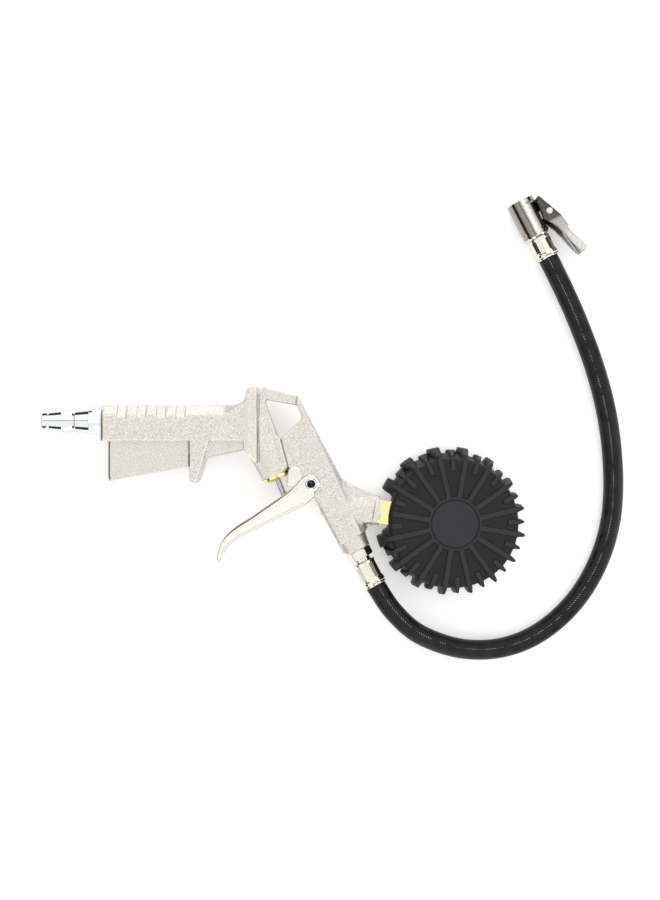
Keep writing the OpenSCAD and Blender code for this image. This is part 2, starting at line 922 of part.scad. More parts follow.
module plate_holes(z) {
    translate([0, 0, z - 1])
        cylinder(r = arbor_r + arbor_clear, h = plate_thick + 2);
    translate([sector_pivot[0], sector_pivot[1], z - 1])
        cylinder(r = arbor_r + arbor_clear, h = plate_thick + 2);
    for (p = pillars)
        translate([p[0], p[1], z - 1])
            cylinder(r = screw_r + seat_gap, h = plate_thick + 2);
}

module foot_holes() {
    for (p = feet)
        translate([p[0], p[1], pad_z - plate_thick - 1])
            cylinder(r = screw_r + seat_gap, h = plate_thick + 4);
}

module rear_plate() {
    color("#c9a24a")
        placed()
            at_gauge()
                difference() {
                    translate([0, 0, pad_z - plate_thick])
                        linear_extrude(height = plate_thick)
                            plate_2d();
                    plate_holes(pad_z - plate_thick);
                    foot_holes();
                }
}

module front_plate() {
    color("#c9a24a")
        placed()
            at_gauge()
                difference() {
                    translate([0, 0, front_plate_z])
                        linear_extrude(height = plate_thick)
                            square_from(-plate_half, plate_half, plate_low, plate_high);
                    plate_holes(front_plate_z);
                    for (p = dial_posts)
                        translate([p[0], p[1], front_plate_z - 1])
                            cylinder(r = screw_r + seat_gap, h = 3);
                }
}

module movement_pillars() {
    color("#d8b662")
        placed()
            at_gauge()
                for (p = pillars)
                    translate([p[0], p[1], front_plate_z + plate_thick])
                        difference() {
                            cylinder(r = pillar_r, h = pad_z - 2 * plate_thick - front_plate_z);
                            translate([0, 0, -1])
                                cylinder(r = screw_r + seat_gap, h = 20);
                        }
}

module movement_screws() {
    color("#b7b9bc")
        placed()
            at_gauge()
                for (p = pillars)
                    translate([p[0], p[1], 0]) {
                        translate([0, 0, front_plate_z])
                            cylinder(r = screw_r, h = pad_z - front_plate_z);
                        translate([0, 0, pad_z])
                            cylinder(r = 1.6, h = 0.9);
                    }
    color("#b7b9bc")
        placed()
            at_gauge()
                for (p = feet)
                    translate([p[0], p[1], pad_z - plate_thick]) {
                        cylinder(r = screw_r, h = plate_thick + 2.5);
                        translate([0, 0, -0.9])
                            cylinder(r = 1.6, h = 0.9);
                    }
}

// Gear teeth: flanks narrowed at the tip so that the pair runs free
function tooth(r, at, foot, tip, thick) =
    let (h = 90 * thick / 3.14159 / r)
    [
        (r - foot) * [cos(at - h * 1.5), sin(at - h * 1.5)],
        r * [cos(at - h), sin(at - h)],
        (r + tip) * [cos(at - h * 0.4), sin(at - h * 0.4)],
        (r + tip) * [cos(at + h * 0.4), sin(at + h * 0.4)],
        r * [cos(at + h), sin(at + h)],
        (r - foot) * [cos(at + h * 1.5), sin(at + h * 1.5)]
    ];

pinion_r = gear_module * pinion_teeth / 2;
sector_r = gear_module * sector_teeth / 2;
tooth_tip = 0.6 * gear_module;
tooth_foot = 0.95 * gear_module;
sector_step = 360 / sector_teeth;
sector_first = -90 - sector_step;
sector_teeth_cut = ceil((sector_swing + 10) / sector_step);

module sector_gear() {
    teeth = [
        for (i = [0:sector_teeth_cut])
            each tooth(sector_r, sector_first + i * sector_step, tooth_foot, tooth_tip, 0.42)
    ];
    color("#cfcfd2")
        placed()
            at_gauge()
                translate([sector_pivot[0], sector_pivot[1], 0])
                    union() {
                        translate([0, 0, sector_z])
                            linear_extrude(height = sector_thick)
                                union() {
                                    polygon(concat([[1, 1], [-1.5, 0.5], [-1, -1]], teeth));
                                    rotate(tail_angle)
                                        square_from(0, tail_r, -1, 1);
                                    rotate(tail_angle)
                                        translate([tail_r, 0])
                                            circle(r = 1.2);
                                    circle(r = 2);
                                }
                        translate([tail_r * cos(tail_angle), tail_r * sin(tail_angle), sector_z + sector_thick - joint])
                            cylinder(r = 0.6, h = link_z + 0.8 - sector_z - sector_thick);
                        translate([0, 0, front_plate_z + 0.1])
                            cylinder(r = arbor_r, h = pad_z - front_plate_z - 0.2);
                    }
}

// Half a tooth step puts a gap of the pinion against the sector's tooth at rest
module pointer_arbor() {
    teeth = [
        for (i = [0:pinion_teeth - 1])
            each tooth(pinion_r, 90 + 360 * (i + 0.5) / pinion_teeth, tooth_foot * 0.9, tooth_tip, 0.36)
    ];
    color("#cfcfd2")
        placed()
            at_gauge()
                union() {
                    translate([0, 0, sector_z - 0.5])
                        linear_extrude(height = sector_thick + 1)
                            polygon(teeth);
                    translate([0, 0, pointer_z - 0.2])
                        cylinder(r = arbor_r, h = pad_z - pointer_z + 0.1);
                }
}

pointer_rest = 225;
module pointer() {
    color("#b3201c")
        placed()
            at_gauge()
                difference() {
                    rotate([0, 0, pointer_rest])
                        translate([0, 0, pointer_z])
                            linear_extrude(height = pointer_thick)
                                union() {
                                    polygon([[-9, -1.4], [0, -1.5], [dial_r - 6, -0.35], [dial_r - 6, 0.35], [0, 1.5], [-9, 1.4]]);
                                    circle(r = 2.6);
                                }
                    cylinder(r = arbor_r + seat_gap, h = big, center = true);
                }
}

module hairspring() {
    turns = 3;
    steps = 24 * turns;
    path = [for (i = [0:steps]) (2.3 + 1.1 * i / 24) * [cos(15 * i), sin(15 * i)]];
    color("#c0a060")
        placed()
            at_gauge()
                translate([0, 0, -4.6])
                    linear_extrude(height = 0.5)
                        polygon(concat(path, reversed(moved(path, 0.15))));
}

dial_posts = [[plate_half - 3, 6.5], [-plate_half + 3, 6.5]];

module dial_plate() {
    color("#f6f6f2")
        placed()
            at_gauge()
                difference() {
                    translate([0, 0, dial_z])
                        cylinder(r = dial_r, h = dial_thick);
                    translate([0, 0, dial_z - 1])
                        cylinder(r = arbor_r + 0.5, h = 3);
                    for (p = dial_posts)
                        translate([p[0], p[1], dial_z - 1])
                            cylinder(r = screw_r + seat_gap, h = 3);
                }
}

module dial_screws() {
    color("#b7b9bc")
        placed()
            at_gauge()
                for (p = dial_posts)
                    translate([p[0], p[1], 0]) {
                        translate([0, 0, dial_z])
                            cylinder(r = screw_r, h = front_plate_z + plate_thick - dial_z);
                        translate([0, 0, dial_z + dial_thick])
                            difference() {
                                cylinder(r = 1.6, h = front_plate_z - dial_z - dial_thick);
                                translate([0, 0, -1])
                                    cylinder(r = screw_r - joint, h = 5);
                            }
                        translate([0, 0, dial_z - 0.6])
                            cylinder(r = 1.5, h = 0.6);
                    }
}

module gauge_case() {
    color("#3b3d40")
        placed()
            at_gauge()
                difference() {
                    translate([0, 0, case_front])
                        cylinder(r = case_r, h = case_back - case_front);
                    translate([0, 0, case_front + case_sheet])
                        cylinder(r = case_r - case_sheet, h = case_back - case_front - 2 * case_sheet);
                    translate([0, 0, case_front - 1])
                        cylinder(r = lip_r, h = 3);
                    rod_x(5.4 + seat_gap, -case_r - 1, -case_r + 4);
                    for (y = case_screw_y)
                        translate([block_x + block_len / 2, y, 0])
                            cylinder(r = 1.3 + seat_gap, h = big);
                }
}

// Two screws hold the case's back to the stem block
case_screw_y = [-5, 5];
module case_screws() {
    color("#b7b9bc")
        placed()
            at_gauge()
                for (y = case_screw_y)
                    translate([block_x + block_len / 2, y, 0]) {
                        translate([0, 0, 5])
                            cylinder(r = 1.3, h = case_back - case_sheet - 5 + case_sheet);
                        difference() {
                            translate([0, 0, 5])
                                cylinder(r = 2.4, h = case_back - case_sheet - 5);
                            translate([0, 0, 4])
                                cylinder(r = 1.29, h = 8);
                        }
                    }
}

module lens_gasket() {
    color("#1d1d1f")
        placed()
            at_gauge()
                difference() {
                    translate([0, 0, lens_back])
                        cylinder(r = case_r - 0.6, h = case_front - lens_back);
                    translate([0, 0, lens_back - 1])
                        cylinder(r = lip_r, h = 3);
                }
}

module lens() {
    color([0.85, 0.92, 0.95, 0.35])
        placed()
            at_gauge()
                translate([0, 0, lens_front])
                    cylinder(r = case_r - 0.1, h = lens_thick);
}

module bezel_ring() {
    color("#c9ccd0")
        placed()
            at_gauge()
                difference() {
                    translate([0, 0, ring_front])
                        cylinder(r = ring_r, h = case_front + 4 - ring_front);
                    translate([0, 0, ring_front + case_sheet])
                        cylinder(r = case_r + seat_gap, h = 20);
                    translate([0, 0, ring_front - 1])
                        cylinder(r = lip_r - 0.6, h = 5);
                }
}

// Boot: a rubber cup with tread lugs, round the case and over its front ring
function tread(root, tip, share) = [
    for (i = [0:lug_count - 1])
        let (
            a = 360 * i / lug_count,
            h = 180 / lug_count * share
        )
        each [
            root * [cos(a - h * 1.35), sin(a - h * 1.35)], tip * [cos(a - h), sin(a - h)],
            tip * [cos(a + h), sin(a + h)], root * [cos(a + h * 1.35), sin(a + h * 1.35)]
        ]
];

module gauge_boot() {
    color("#2c2c2e")
        placed()
            at_gauge()
                difference() {
                    union() {
                        translate([0, 0, -boot_front])
                            cylinder(r = boot_r, h = boot_front + boot_back);
                        translate([0, 0, -boot_front + 2])
                            linear_extrude(height = 11)
                                polygon(tread(boot_r - 0.6, boot_lug_r, 0.45));
                        translate([0, 0, -3.1])
                            linear_extrude(height = 8.1)
                                polygon(tread(boot_r - 0.6, boot_lug_r - 2.5, 0.4));
                        translate([0, 0, 4.9])
                            linear_extrude(height = boot_back - 5.9)
                                polygon(tread(boot_r - 0.6, boot_r + 3.3, 0.25));
                    }
                    translate([0, 0, case_front + 4.2])
                        cylinder(r = case_r + 0.05, h = case_back + 0.05 - case_front - 4.2);
                    translate([0, 0, ring_front - 0.1])
                        cylinder(r = ring_r + 0.05, h = case_front + 4.3 - ring_front);
                    translate([0, 0, -boot_front - 1])
                        cylinder(r = lip_r - 0.4, h = 5);
                    rod_x(5.5, -big, -case_r + 2);
                    translate([-boot_r - 20, -gauge_flats / 2 - 0.3, -gauge_flats / 2 - 0.3])
                        cube([20.4, gauge_flats + 0.6, gauge_flats + 0.6]);
                }
}

// Chuck: along X from the hose
nipple_end = chuck_ferrule_len + 7;
relief = 3;

module chuck_ferrule() {
    color("#cfc9bd")
        placed()
            at_chuck()
                translate([chuck_ferrule_len, 0, 0])
                    mirror([1, 0, 0])
                        ferrule(chuck_ferrule_len);
}

module chuck_nipple() {
    color("#cbc7bd")
        placed()
            at_chuck()
                difference() {
                    union() {
                        rod_x(tail_rod_r, 1.5, nipple_end);
                        turned([[chuck_ferrule_len, 6.6], [flange_at - 0.5, 7.4], [flange_at, 7.4]]);
                        rod_x(4.6, flange_at - 0.5, nipple_end);
                    }
                    rod_x(nipple_bore_r, 0, nipple_end + 1);
                }
}

// The mouth takes a tyre valve. A slot at the lever's side lets the claw in.
module chuck_body() {
    mouth = chuck_len - socket_depth;
    color("#b5aea2")
        placed()
            at_chuck()
                difference() {
                    union() {
                        rod_x(chuck_r - 0.5, flange_at, body_at + 1);
                        rod_x(chuck_r, flange_at + 0.8, flange_at + flange_len - 0.6);
                        rod_x(chuck_r, body_at + 0.7, chuck_len);
                        translate([lever_pivot[0], -lever_pivot[1], 0])
                            cylinder(r = lever_pin_r + ear_wall, h = 2 * ear_half, center = true);
                        translate([lever_pivot[0] - 2.4, -lever_pivot[1] + 0.6, -ear_half])
                            cube([4.8, 8, 2 * ear_half]);
                    }
                    rod_x(4.6 + seat_gap, flange_at - 1, nipple_end + 0.3);
                    rod_x(nipple_bore_r, 0, chuck_len);
                    rod_x(5.2, nipple_end + 0.3, mouth - 1);
                    rod_x(socket_r + 0.5, mouth - 1, mouth + relief);
                    rod_x(socket_r, mouth - 2, chuck_len + 1);
                    translate([chuck_len - 8, -20, -2.2])
                        cube([6, 20, 4.4]);
                    translate([chuck_len - 4, -6.6, chuck_r - 3.2])
                        cube([1.4, 5.6, 5]);
                    translate([lever_pivot[0], -lever_pivot[1], 0])
                        cylinder(r = lever_pin_r + seat_gap, h = big, center = true);
                    translate([lever_pivot[0] - 4, -lever_pivot[1] - 3, -2.6])
                        cube([8, 5.8, 5.2]);
                }
}

module chuck_seal() {
    mouth = chuck_len - socket_depth;
    color("#1c1c1e")
        placed()
            at_chuck()
                difference() {
                    rod_x(5.2 - seat_gap, nipple_end + 0.4, mouth - 1.1);
                    rod_x(1.5, nipple_end - 1, mouth + 1);
                }
}

module depressor_pin() {
    color("#d9a93c")
        placed()
            at_chuck()
                union() {
                    rod_x(1.1, nipple_end - 3, chuck_len - socket_depth + 2.5);
                    translate([nipple_end - 2.6, 0, 0])
                        difference() {
                            rod_x(nipple_bore_r - seat_gap, 0, 1.6);
                            for (a = [0:120:359])
                                rotate([a, 0, 0])
                                    translate([-1, 1.25, -0.4])
                                        cube([4, 2, 0.8]);
                        }
                }
}

// Lever: two cheeks beside the chuck, a back that joins them, a thumb tab and a claw
module lever_outline() {
    polygon(concat([for (p = lever_low) [p[0], -p[1]]], [for (p = lever_high) [p[0], -p[1]]], [
        [33.5, -9.7], [24, -9.2]
    ]));
}

module lever_back_2d() {
    outer = [for (p = lever_high) [p[0], -p[1]]];
    polygon(concat(outer, reversed(moved(outer, lever_sheet))));
}

module chuck_lever() {
    color("#b9b7b3")
        placed()
            at_chuck()
                difference() {
                    union() {
                        for (side = [-1, 1])
                            translate([0, 0, side * (lever_half - lever_sheet / 2)])
                                slab(lever_sheet)
                                    lever_outline();
                        slab(2 * lever_half - lever_sheet)
                            lever_back_2d();
                        translate([chuck_len - 7.4, -11.6, -1.8])
                            cube([3.2, 6.9, 3.6]);
                    }
                    translate([lever_pivot[0], -lever_pivot[1], 0])
                        cylinder(r = lever_pin_r + pin_clear, h = big, center = true);
                }
}

module lever_pin() {
    half = lever_half + 0.2;
    color("#dedbd5")
        placed()
            at_chuck()
                translate([lever_pivot[0], -lever_pivot[1], 0])
                    union() {
                        cylinder(r = lever_pin_r, h = 2 * half, center = true);
                        for (side = [-1, 1])
                            translate([0, 0, side * (half + 0.35)])
                                cylinder(r = lever_pin_r + 0.7, h = 0.7, center = true);
                    }
}

// Hairpin spring round the pin, between the ears
module lever_spring() {
    wire_r = 0.2;
    coil_r = lever_pin_r + wire_r + 0.12;
    steps = 39;
    coil = [for (i = [0:steps]) [coil_r * sin(30 * i), -coil_r * cos(30 * i), 3.2 * i / steps]];
    color("#a9abae")
        placed()
            at_chuck()
                translate([lever_pivot[0], -lever_pivot[1], -1.6])
                    wire(concat([[-7, -3.4, 0]], coil, [[coil_r, 2.1, 3.2]]), wire_r, 6);
}

gun_body();
inlet_plug();
inlet_washer();
valve_seat();
valve_stem();
valve_seal();
valve_spring();
packing_nut();
packing_ring();
trigger();
trigger_pin();
hose_nipple();
gun_ferrule();
hose();
gauge_stem();
pressure_tube();
tube_link();
rear_plate();
front_plate();
movement_pillars();
movement_screws();
sector_gear();
pointer_arbor();
pointer();
hairspring();
dial_plate();
dial_screws();
gauge_case();
case_screws();
lens_gasket();
lens();
bezel_ring();
gauge_boot();
chuck_ferrule();
chuck_nipple();
chuck_body();
chuck_seal();
depressor_pin();
chuck_lever();
lever_pin();
lever_spring();
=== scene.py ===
# %% [markdown]
# # A tyre inflator on the bench
# The object is an air pistol: a sand-blasted casting with a plated trigger, a gauge in a rubber
# boot, and a hose with a clip-on chuck. The turned and hidden pieces come from the CAD frame as
# they are. The pieces whose edges, crimps, ribs and folds make the real thing are made again here.
# Everything is in metres in the row's frame, but shapes are worked out in millimetres in the
# pistol's own frame: X along the grip, Y up its back, Z across it from its middle.

# %% Load the frame
import json
import math

import bpy
import numpy as np
import openvdb
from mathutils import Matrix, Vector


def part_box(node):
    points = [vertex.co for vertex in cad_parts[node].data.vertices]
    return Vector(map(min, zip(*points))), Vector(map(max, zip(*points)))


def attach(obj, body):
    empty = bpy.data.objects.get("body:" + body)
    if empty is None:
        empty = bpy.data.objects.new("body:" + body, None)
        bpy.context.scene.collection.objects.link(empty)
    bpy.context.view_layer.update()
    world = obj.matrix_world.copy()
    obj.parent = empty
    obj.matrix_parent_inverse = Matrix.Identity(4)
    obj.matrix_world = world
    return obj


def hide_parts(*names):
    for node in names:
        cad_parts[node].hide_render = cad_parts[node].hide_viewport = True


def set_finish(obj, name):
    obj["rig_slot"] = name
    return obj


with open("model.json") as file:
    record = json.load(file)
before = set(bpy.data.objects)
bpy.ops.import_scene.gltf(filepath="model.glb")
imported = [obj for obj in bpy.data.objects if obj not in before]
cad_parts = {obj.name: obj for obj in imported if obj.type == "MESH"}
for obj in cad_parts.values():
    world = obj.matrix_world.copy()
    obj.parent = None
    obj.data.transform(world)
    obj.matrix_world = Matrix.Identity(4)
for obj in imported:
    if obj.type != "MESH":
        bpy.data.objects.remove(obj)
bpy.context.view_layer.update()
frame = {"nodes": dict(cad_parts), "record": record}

# %% [markdown]
# The pistol's frame is found from the frame itself: the inlet plug's axis is its X axis, and the
# plug's tip stands 125 mm before its zero. Each sub-frame is a place and two directions, and the
# third direction is their cross product.

# %% Where things are
PLUG_TIP = -125.0
plug_low, plug_high = (np.array(c) * 1000 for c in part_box("inlet_plug"))
zero = np.array([plug_low[0] - PLUG_TIP, (plug_low[1] + plug_high[1]) / 2, (plug_low[2] + plug_high[2]) / 2])


def to_row(points):
    """Millimetres in the pistol's frame to metres in the row's frame: add the zero's place, then scale."""
    return (np.asarray(points, float) + zero) / 1000


def direction(degrees):
    """The unit vector in the XY plane at an angle from X."""
    a = math.radians(degrees)
    return np.array([math.cos(a), math.sin(a), 0.0])


class Seat:
    """A local frame: a place, the direction of its X and the direction of its Y, in the pistol's frame."""

    def __init__(self, at, degrees):
        self.at = np.array(at, float)
        self.x = direction(degrees)
        self.y = direction(degrees + 90)
        self.z = np.array([0.0, 0.0, 1.0])

    def place(self, local):
        """Local points to the row's frame: the place plus each coordinate times its direction."""
        p = np.asarray(local, float)
        return to_row(self.at + p[..., :1] * self.x + p[..., 1:2] * self.y + p[..., 2:3] * self.z)

    def on(self, along, side=0.0, up=0.0):
        """The pistol-frame place of one local point."""
        return self.at + along * self.x + side * self.y + up * self.z


pivot = np.array([36.4, -37.6, 0.0])
barrel = Seat(pivot + 6.1 * direction(27.4), 27.4 - 90)
column = Seat([15.0, -32.6, 0.0], 90 + 23)
branch = Seat(barrel.on(16.5), -9.3)
gauge = Seat(branch.on(27.4 + 45.7), -9.3)
grip = Seat([0, 0, 0], 0)
trigger_seat = Seat(pivot, 0)
BARREL_END = 48.0
hose_exit = barrel.on(BARREL_END + 5.5 + 2.2 + 15.8)
print("gauge's middle, in metres:", to_row(gauge.at).round(4), "hose leaves at", to_row(hose_exit).round(4))

# %% [markdown]
# The camera looks straight down on the bench, a little right of the pistol's middle. A lens of
# 52 mm keeps the sides of the tall pieces just visible, as they are from a tripod over a table.

# %% Camera
scene = bpy.context.scene
camera = bpy.data.objects.new("camera", bpy.data.cameras.new("camera"))
scene.collection.objects.link(camera)
camera.data.lens = 52.0
camera.data.clip_start = 0.01
camera.location = (0.0271, 0.02515, 0.796)
scene.camera = camera
scene.view_settings.view_transform = "Standard"
print("camera height:", camera.location.z)

# %% [markdown]
# The bench is one plain white sheet. Two wide soft lights hang over it with a narrow dark gap
# between them. Three smaller lights stand at the back, the front and the right, and brighten upright
# faces. Between them the room is dim: a polished edge turns from the lights to the dim room and then
# to the white sheet, which draws the thin dark outlines that polished metal has in a studio.


# %% Bench and lights
def add(tree, kind, inputs=None, **settings):
    """Adds one node, sets its properties, and links or sets its inputs."""
    node = tree.nodes.new(kind)
    for key, value in settings.items():
        setattr(node, key, value)
    for key, value in (inputs or {}).items():
        if isinstance(value, bpy.types.NodeSocket):
            tree.links.new(value, node.inputs[key])
        else:
            node.inputs[key].default_value = value
    return node


def hex_colour(text):
    """An sRGB colour as six hex digits to linear red, green, blue and alpha."""
    srgb = np.array([int(text[i:i + 2], 16) for i in (0, 2, 4)]) / 255
    linear = np.where(srgb <= 0.04045, srgb / 12.92, ((srgb + 0.055) / 1.055) ** 2.4)
    return (*[float(c) for c in linear], 1.0)


def sheet_mesh(name, corners):
    """A flat four-cornered mesh."""
    mesh = bpy.data.meshes.new(name)
    mesh.from_pydata([tuple(c) for c in corners], [], [(0, 1, 2, 3)])
    made = bpy.data.objects.new(name, mesh)
    scene.collection.objects.link(made)
    return made


bench = sheet_mesh("bench", [(-4, -4, 0), (4, -4, 0), (4, 4, 0), (-4, 4, 0)])
paper = bpy.data.materials.new("matt_white_paper")
paper.use_nodes = True
paper.node_tree.nodes["Principled BSDF"].inputs["Base Color"].default_value = hex_colour("f4f4f4")
paper.node_tree.nodes["Principled BSDF"].inputs["Roughness"].default_value = 0.9
paper.node_tree.nodes["Principled BSDF"].inputs["Specular IOR Level"].default_value = 0.1
paper.node_tree.nodes["Principled BSDF"].inputs["Emission Color"].default_value = (1, 1, 1, 1)
paper.node_tree.nodes["Principled BSDF"].inputs["Emission Strength"].default_value = 0.3
bench.data.materials.append(paper)

scene.world = bpy.data.worlds.new("dim_room")
scene.world.use_nodes = True
scene.world.node_tree.nodes["Background"].inputs["Color"].default_value = (0.9, 0.95, 1.0, 1)
scene.world.node_tree.nodes["Background"].inputs["Strength"].default_value = 0.06


def soft_light(name, place, size, watts, turn=(0, 0, 0)):
    """A rectangular area light."""
    lamp = bpy.data.objects.new(name, bpy.data.lights.new(name, "AREA"))
    lamp.data.shape = "RECTANGLE"
    lamp.data.size, lamp.data.size_y = size
    lamp.data.energy = watts
    lamp.location = place
    lamp.rotation_euler = [math.radians(a) for a in turn]
    scene.collection.objects.link(lamp)
    return lamp


lamps = [
    soft_light("upper_panel", (0.05, 1.145, 1.25), (4.4, 2.03), 39),
    soft_light("lower_panel", (0.05, -1.065, 1.25), (4.4, 2.19), 37),
    soft_light("back_wall", (0.1, 2.4, 0.68), (1.8, 1.3), 19, (-90, 0, 0)),
    soft_light("front_wall", (-0.1, -2.4, 0.68), (1.6, 1.3), 14, (90, 0, 0)),
    soft_light("right_wall", (2.4, -0.3, 0.68), (1.3, 1.4), 17, (0, 90, 0)),
]
print("lights:", [lamp.name for lamp in lamps])

# %% [markdown]
# Every new piece is a grid of points worked out as one array. These helpers put a grid into a mesh,
# close it, turn its faces outwards and mark its sharp edges.


# %% Grids into meshes
def make_piece(name, points, faces, body="pistol", smooth=35.0):
    """A mesh object from points in the row's frame; its faces turn outwards where the signed volume is
    negative."""
    mesh = bpy.data.meshes.new(name)
    mesh.from_pydata(points, [], faces)
    mesh.update()
    mesh.calc_loop_triangles()
    corners = np.zeros(len(mesh.loop_triangles) * 3, np.int32)
    mesh.loop_triangles.foreach_get("vertices", corners)
    tri = np.asarray(points)[corners].reshape(-1, 3, 3)
    tri = tri - tri.mean((0, 1))
    if np.einsum("ij,ij->i", tri[:, 0], np.cross(tri[:, 1], tri[:, 2])).sum() < 0:
        mesh.flip_normals()
    mesh.shade_smooth()
    mesh.set_sharp_from_angle(angle=math.radians(smooth))
    made = bpy.data.objects.new(name, mesh)
    scene.collection.objects.link(made)
    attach(made, body)
    print(f"{name}: {len(mesh.loop_triangles)} triangles on {body}")
    return made


def grid_faces(rows, columns, wrap_rows=False, wrap_columns=True):
    """Four-cornered faces between neighbouring rows and columns of a grid, round the ends where it wraps."""
    i = np.arange(rows if wrap_rows else rows - 1)[:, None]
    j = np.arange(columns if wrap_columns else columns - 1)[None, :]
    i2, j2 = (i + 1) % rows, (j + 1) % columns
    return np.stack([i * columns + j, i2 * columns + j, i2 * columns + j2, i * columns + j2], -1).reshape(
        -1, 4)


def grid_piece(name, grid, ring=False, body="pistol", smooth=35.0):
    """A piece from a grid of rings: a closed ring of rings, or a tube whose two end rings are capped."""
    rows, columns = grid.shape[:2]
    faces = grid_faces(rows, columns, wrap_rows=ring).tolist()
    if not ring:
        faces.append(list(range(columns)))
        faces.append(list(range((rows - 1) * columns, rows * columns))[::-1])
    return make_piece(name, grid.reshape(-1, 3), faces, body, smooth)


def eased(profile, radius, closed=False):
    """A polyline with each corner cut back by a radius and bulged to the middle of the cut, as three
    points."""
    p = np.asarray(profile, float)
    before, after = np.roll(p, 1, 0), np.roll(p, -1, 0)
    to_before, to_after = before - p, after - p
    long_before = np.maximum(np.linalg.norm(to_before, axis=1, keepdims=True), 1e-9)
    long_after = np.maximum(np.linalg.norm(to_after, axis=1, keepdims=True), 1e-9)
    a = p + to_before * np.minimum(radius / long_before, 0.45)
    b = p + to_after * np.minimum(radius / long_after, 0.45)
    line = np.stack([a, 0.2 * a + 0.6 * p + 0.2 * b, b], 1)
    if closed:
        return line.reshape(-1, 2)
    return np.concatenate([p[:1], line[1:-1].reshape(-1, 2), p[-1:]])


def turned(name, seat, profile, sides=96, flats=None, squeeze=None, ring=False, ease=0.15, body="pistol",
    twist=0.0):
    """A turned piece: the profile's [place, radius] points carried round the seat's X axis.
    flats = [from, to, across] limits the radius to a hexagon between two places, squeeze changes it
    freely."""
    line = eased(profile, ease, ring)
    angle = np.arange(sides) * 2 * np.pi / sides
    place, radius = line[:, 0][:, None], line[:, 1][:, None] * np.ones(sides)
    if flats:
        start, end, across = flats
        off = np.abs((angle + twist) % (np.pi / 3) - np.pi / 6)
        hexagon = across / 2 / np.cos(off)
        radius = np.where((place >= start) & (place <= end), np.minimum(radius, hexagon), radius)
    if squeeze is not None:
        radius = squeeze(place, angle[None, :], radius)
    grid = np.stack([place * np.ones(sides), radius * np.cos(angle), radius * np.sin(angle)], -1)
    return grid_piece(name, seat.place(grid), ring, body)


def step(a, b, x):
    """0 below a, 1 above b, and a smooth S between them."""
    t = np.clip((x - a) / (b - a), 0, 1)
    return t * t * (3 - 2 * t)


# %% [markdown]
# The hose comes next, because its lie decides the picture. It is one tube carried along a smooth
# curve through the route's points. The tube has its own UV map, in millimetres round and along it,
# so that the cloth's imprint follows it round the bend.

# %% Hose
ROUTE = [
    (0, 0, 16), (10, -15, 15.6), (23.5, -28, 13.6), (40, -36, 11), (57, -40, 8.4), (75.5, -39.5, 6.6),
    (93, -34, 6.1), (108.5, -24, 6.1), (121.5, -11, 6.1), (131.5, 4, 6.1), (139, 21, 6.1), (143.5, 39, 6.1),
    (145, 57, 6.1), (144.5, 75.5, 6.1), (142.5, 94, 6.1), (139, 112, 6.1), (134, 130, 6.1),
    (128, 147, 6.4), (121, 164, 7.3), (113.5, 180, 8.4), (105, 197, 8.8)]
HOSE_RADIUS = 6.0
knots = np.array(ROUTE, float) + [hose_exit[0], hose_exit[1], -16.0]


def smooth_line(points, pieces):
    """A curve through the points: on each span, the cubic whose slopes are the chords between its
    neighbours."""
    p = np.concatenate([[2 * points[0] - points[1]], points, [2 * points[-1] - points[-2]]])
    t = np.linspace(0, 1, pieces, endpoint=False)[None, :, None]
    a, b, c, d = (p[i:len(p) - 3 + i, None] for i in range(4))
    line = 0.5 * (
        2 * b + (c - a) * t + (2 * a - 5 * b + 4 * c - d) * t ** 2 + (3 * b - a - 3 * c + d) * t ** 3)
    return np.concatenate([line.reshape(-1, 3), points[-1:]])


hose_line = smooth_line(knots, 26)


def tube(line, radii, sides):
    """Rings of points round a line that stays close to level: each ring is square to the line's slope."""
    slope = np.gradient(line, axis=0)
    slope /= np.linalg.norm(slope, axis=1, keepdims=True)
    side = np.cross(slope, [0, 0, 1.0])
    side /= np.linalg.norm(side, axis=1, keepdims=True)
    up = np.cross(side, slope)
    angle = np.arange(sides) * 2 * np.pi / sides
    spin = np.cos(angle)[None, :, None] * side[:, None] + np.sin(angle)[None, :, None] * up[:, None]
    return line[:, None] + radii * spin


hose_grid = to_row(tube(hose_line, HOSE_RADIUS, 48))
hose = grid_piece("hose_cover", hose_grid)
along = np.concatenate([[0], np.cumsum(np.linalg.norm(np.diff(hose_line, axis=0), axis=1))])
vertex_of_loop = np.zeros(len(hose.data.loops), np.int32)
hose.data.loops.foreach_get("vertex_index", vertex_of_loop)
ring_index, side_index = vertex_of_loop // 48, vertex_of_loop % 48
face_of_loop = np.repeat(np.arange(len(hose.data.polygons)), [p.loop_total for p in hose.data.polygons])
seam = np.zeros(len(hose.data.polygons), bool)
np.logical_or.at(seam, face_of_loop, side_index == 47)
round_mm = np.where(seam[face_of_loop] & (side_index == 0), 48, side_index) * 2 * np.pi * HOSE_RADIUS / 48
uv = hose.data.uv_layers.new(name="hose_millimetres")
uv.data.foreach_set("uv", np.stack([round_mm, along[ring_index]], 1).astype(np.float32).ravel())
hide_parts("hose")
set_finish(hose, "hose_cover")
print("hose length, in metres:", round(along[-1] / 1000, 4))

# %% [markdown]
# The casting is one body in which thick and thin parts melt into each other, with small round
# edges everywhere. A grid surface can't branch like that. It could be joined from solids and
# bevelled, but bevels fail where many surfaces meet. Instead each part is a signed distance: how far
# a point is from the part, negative inside. Distances melt together with one formula, and the
# surface is drawn where the result is zero, on a lattice of small cells.


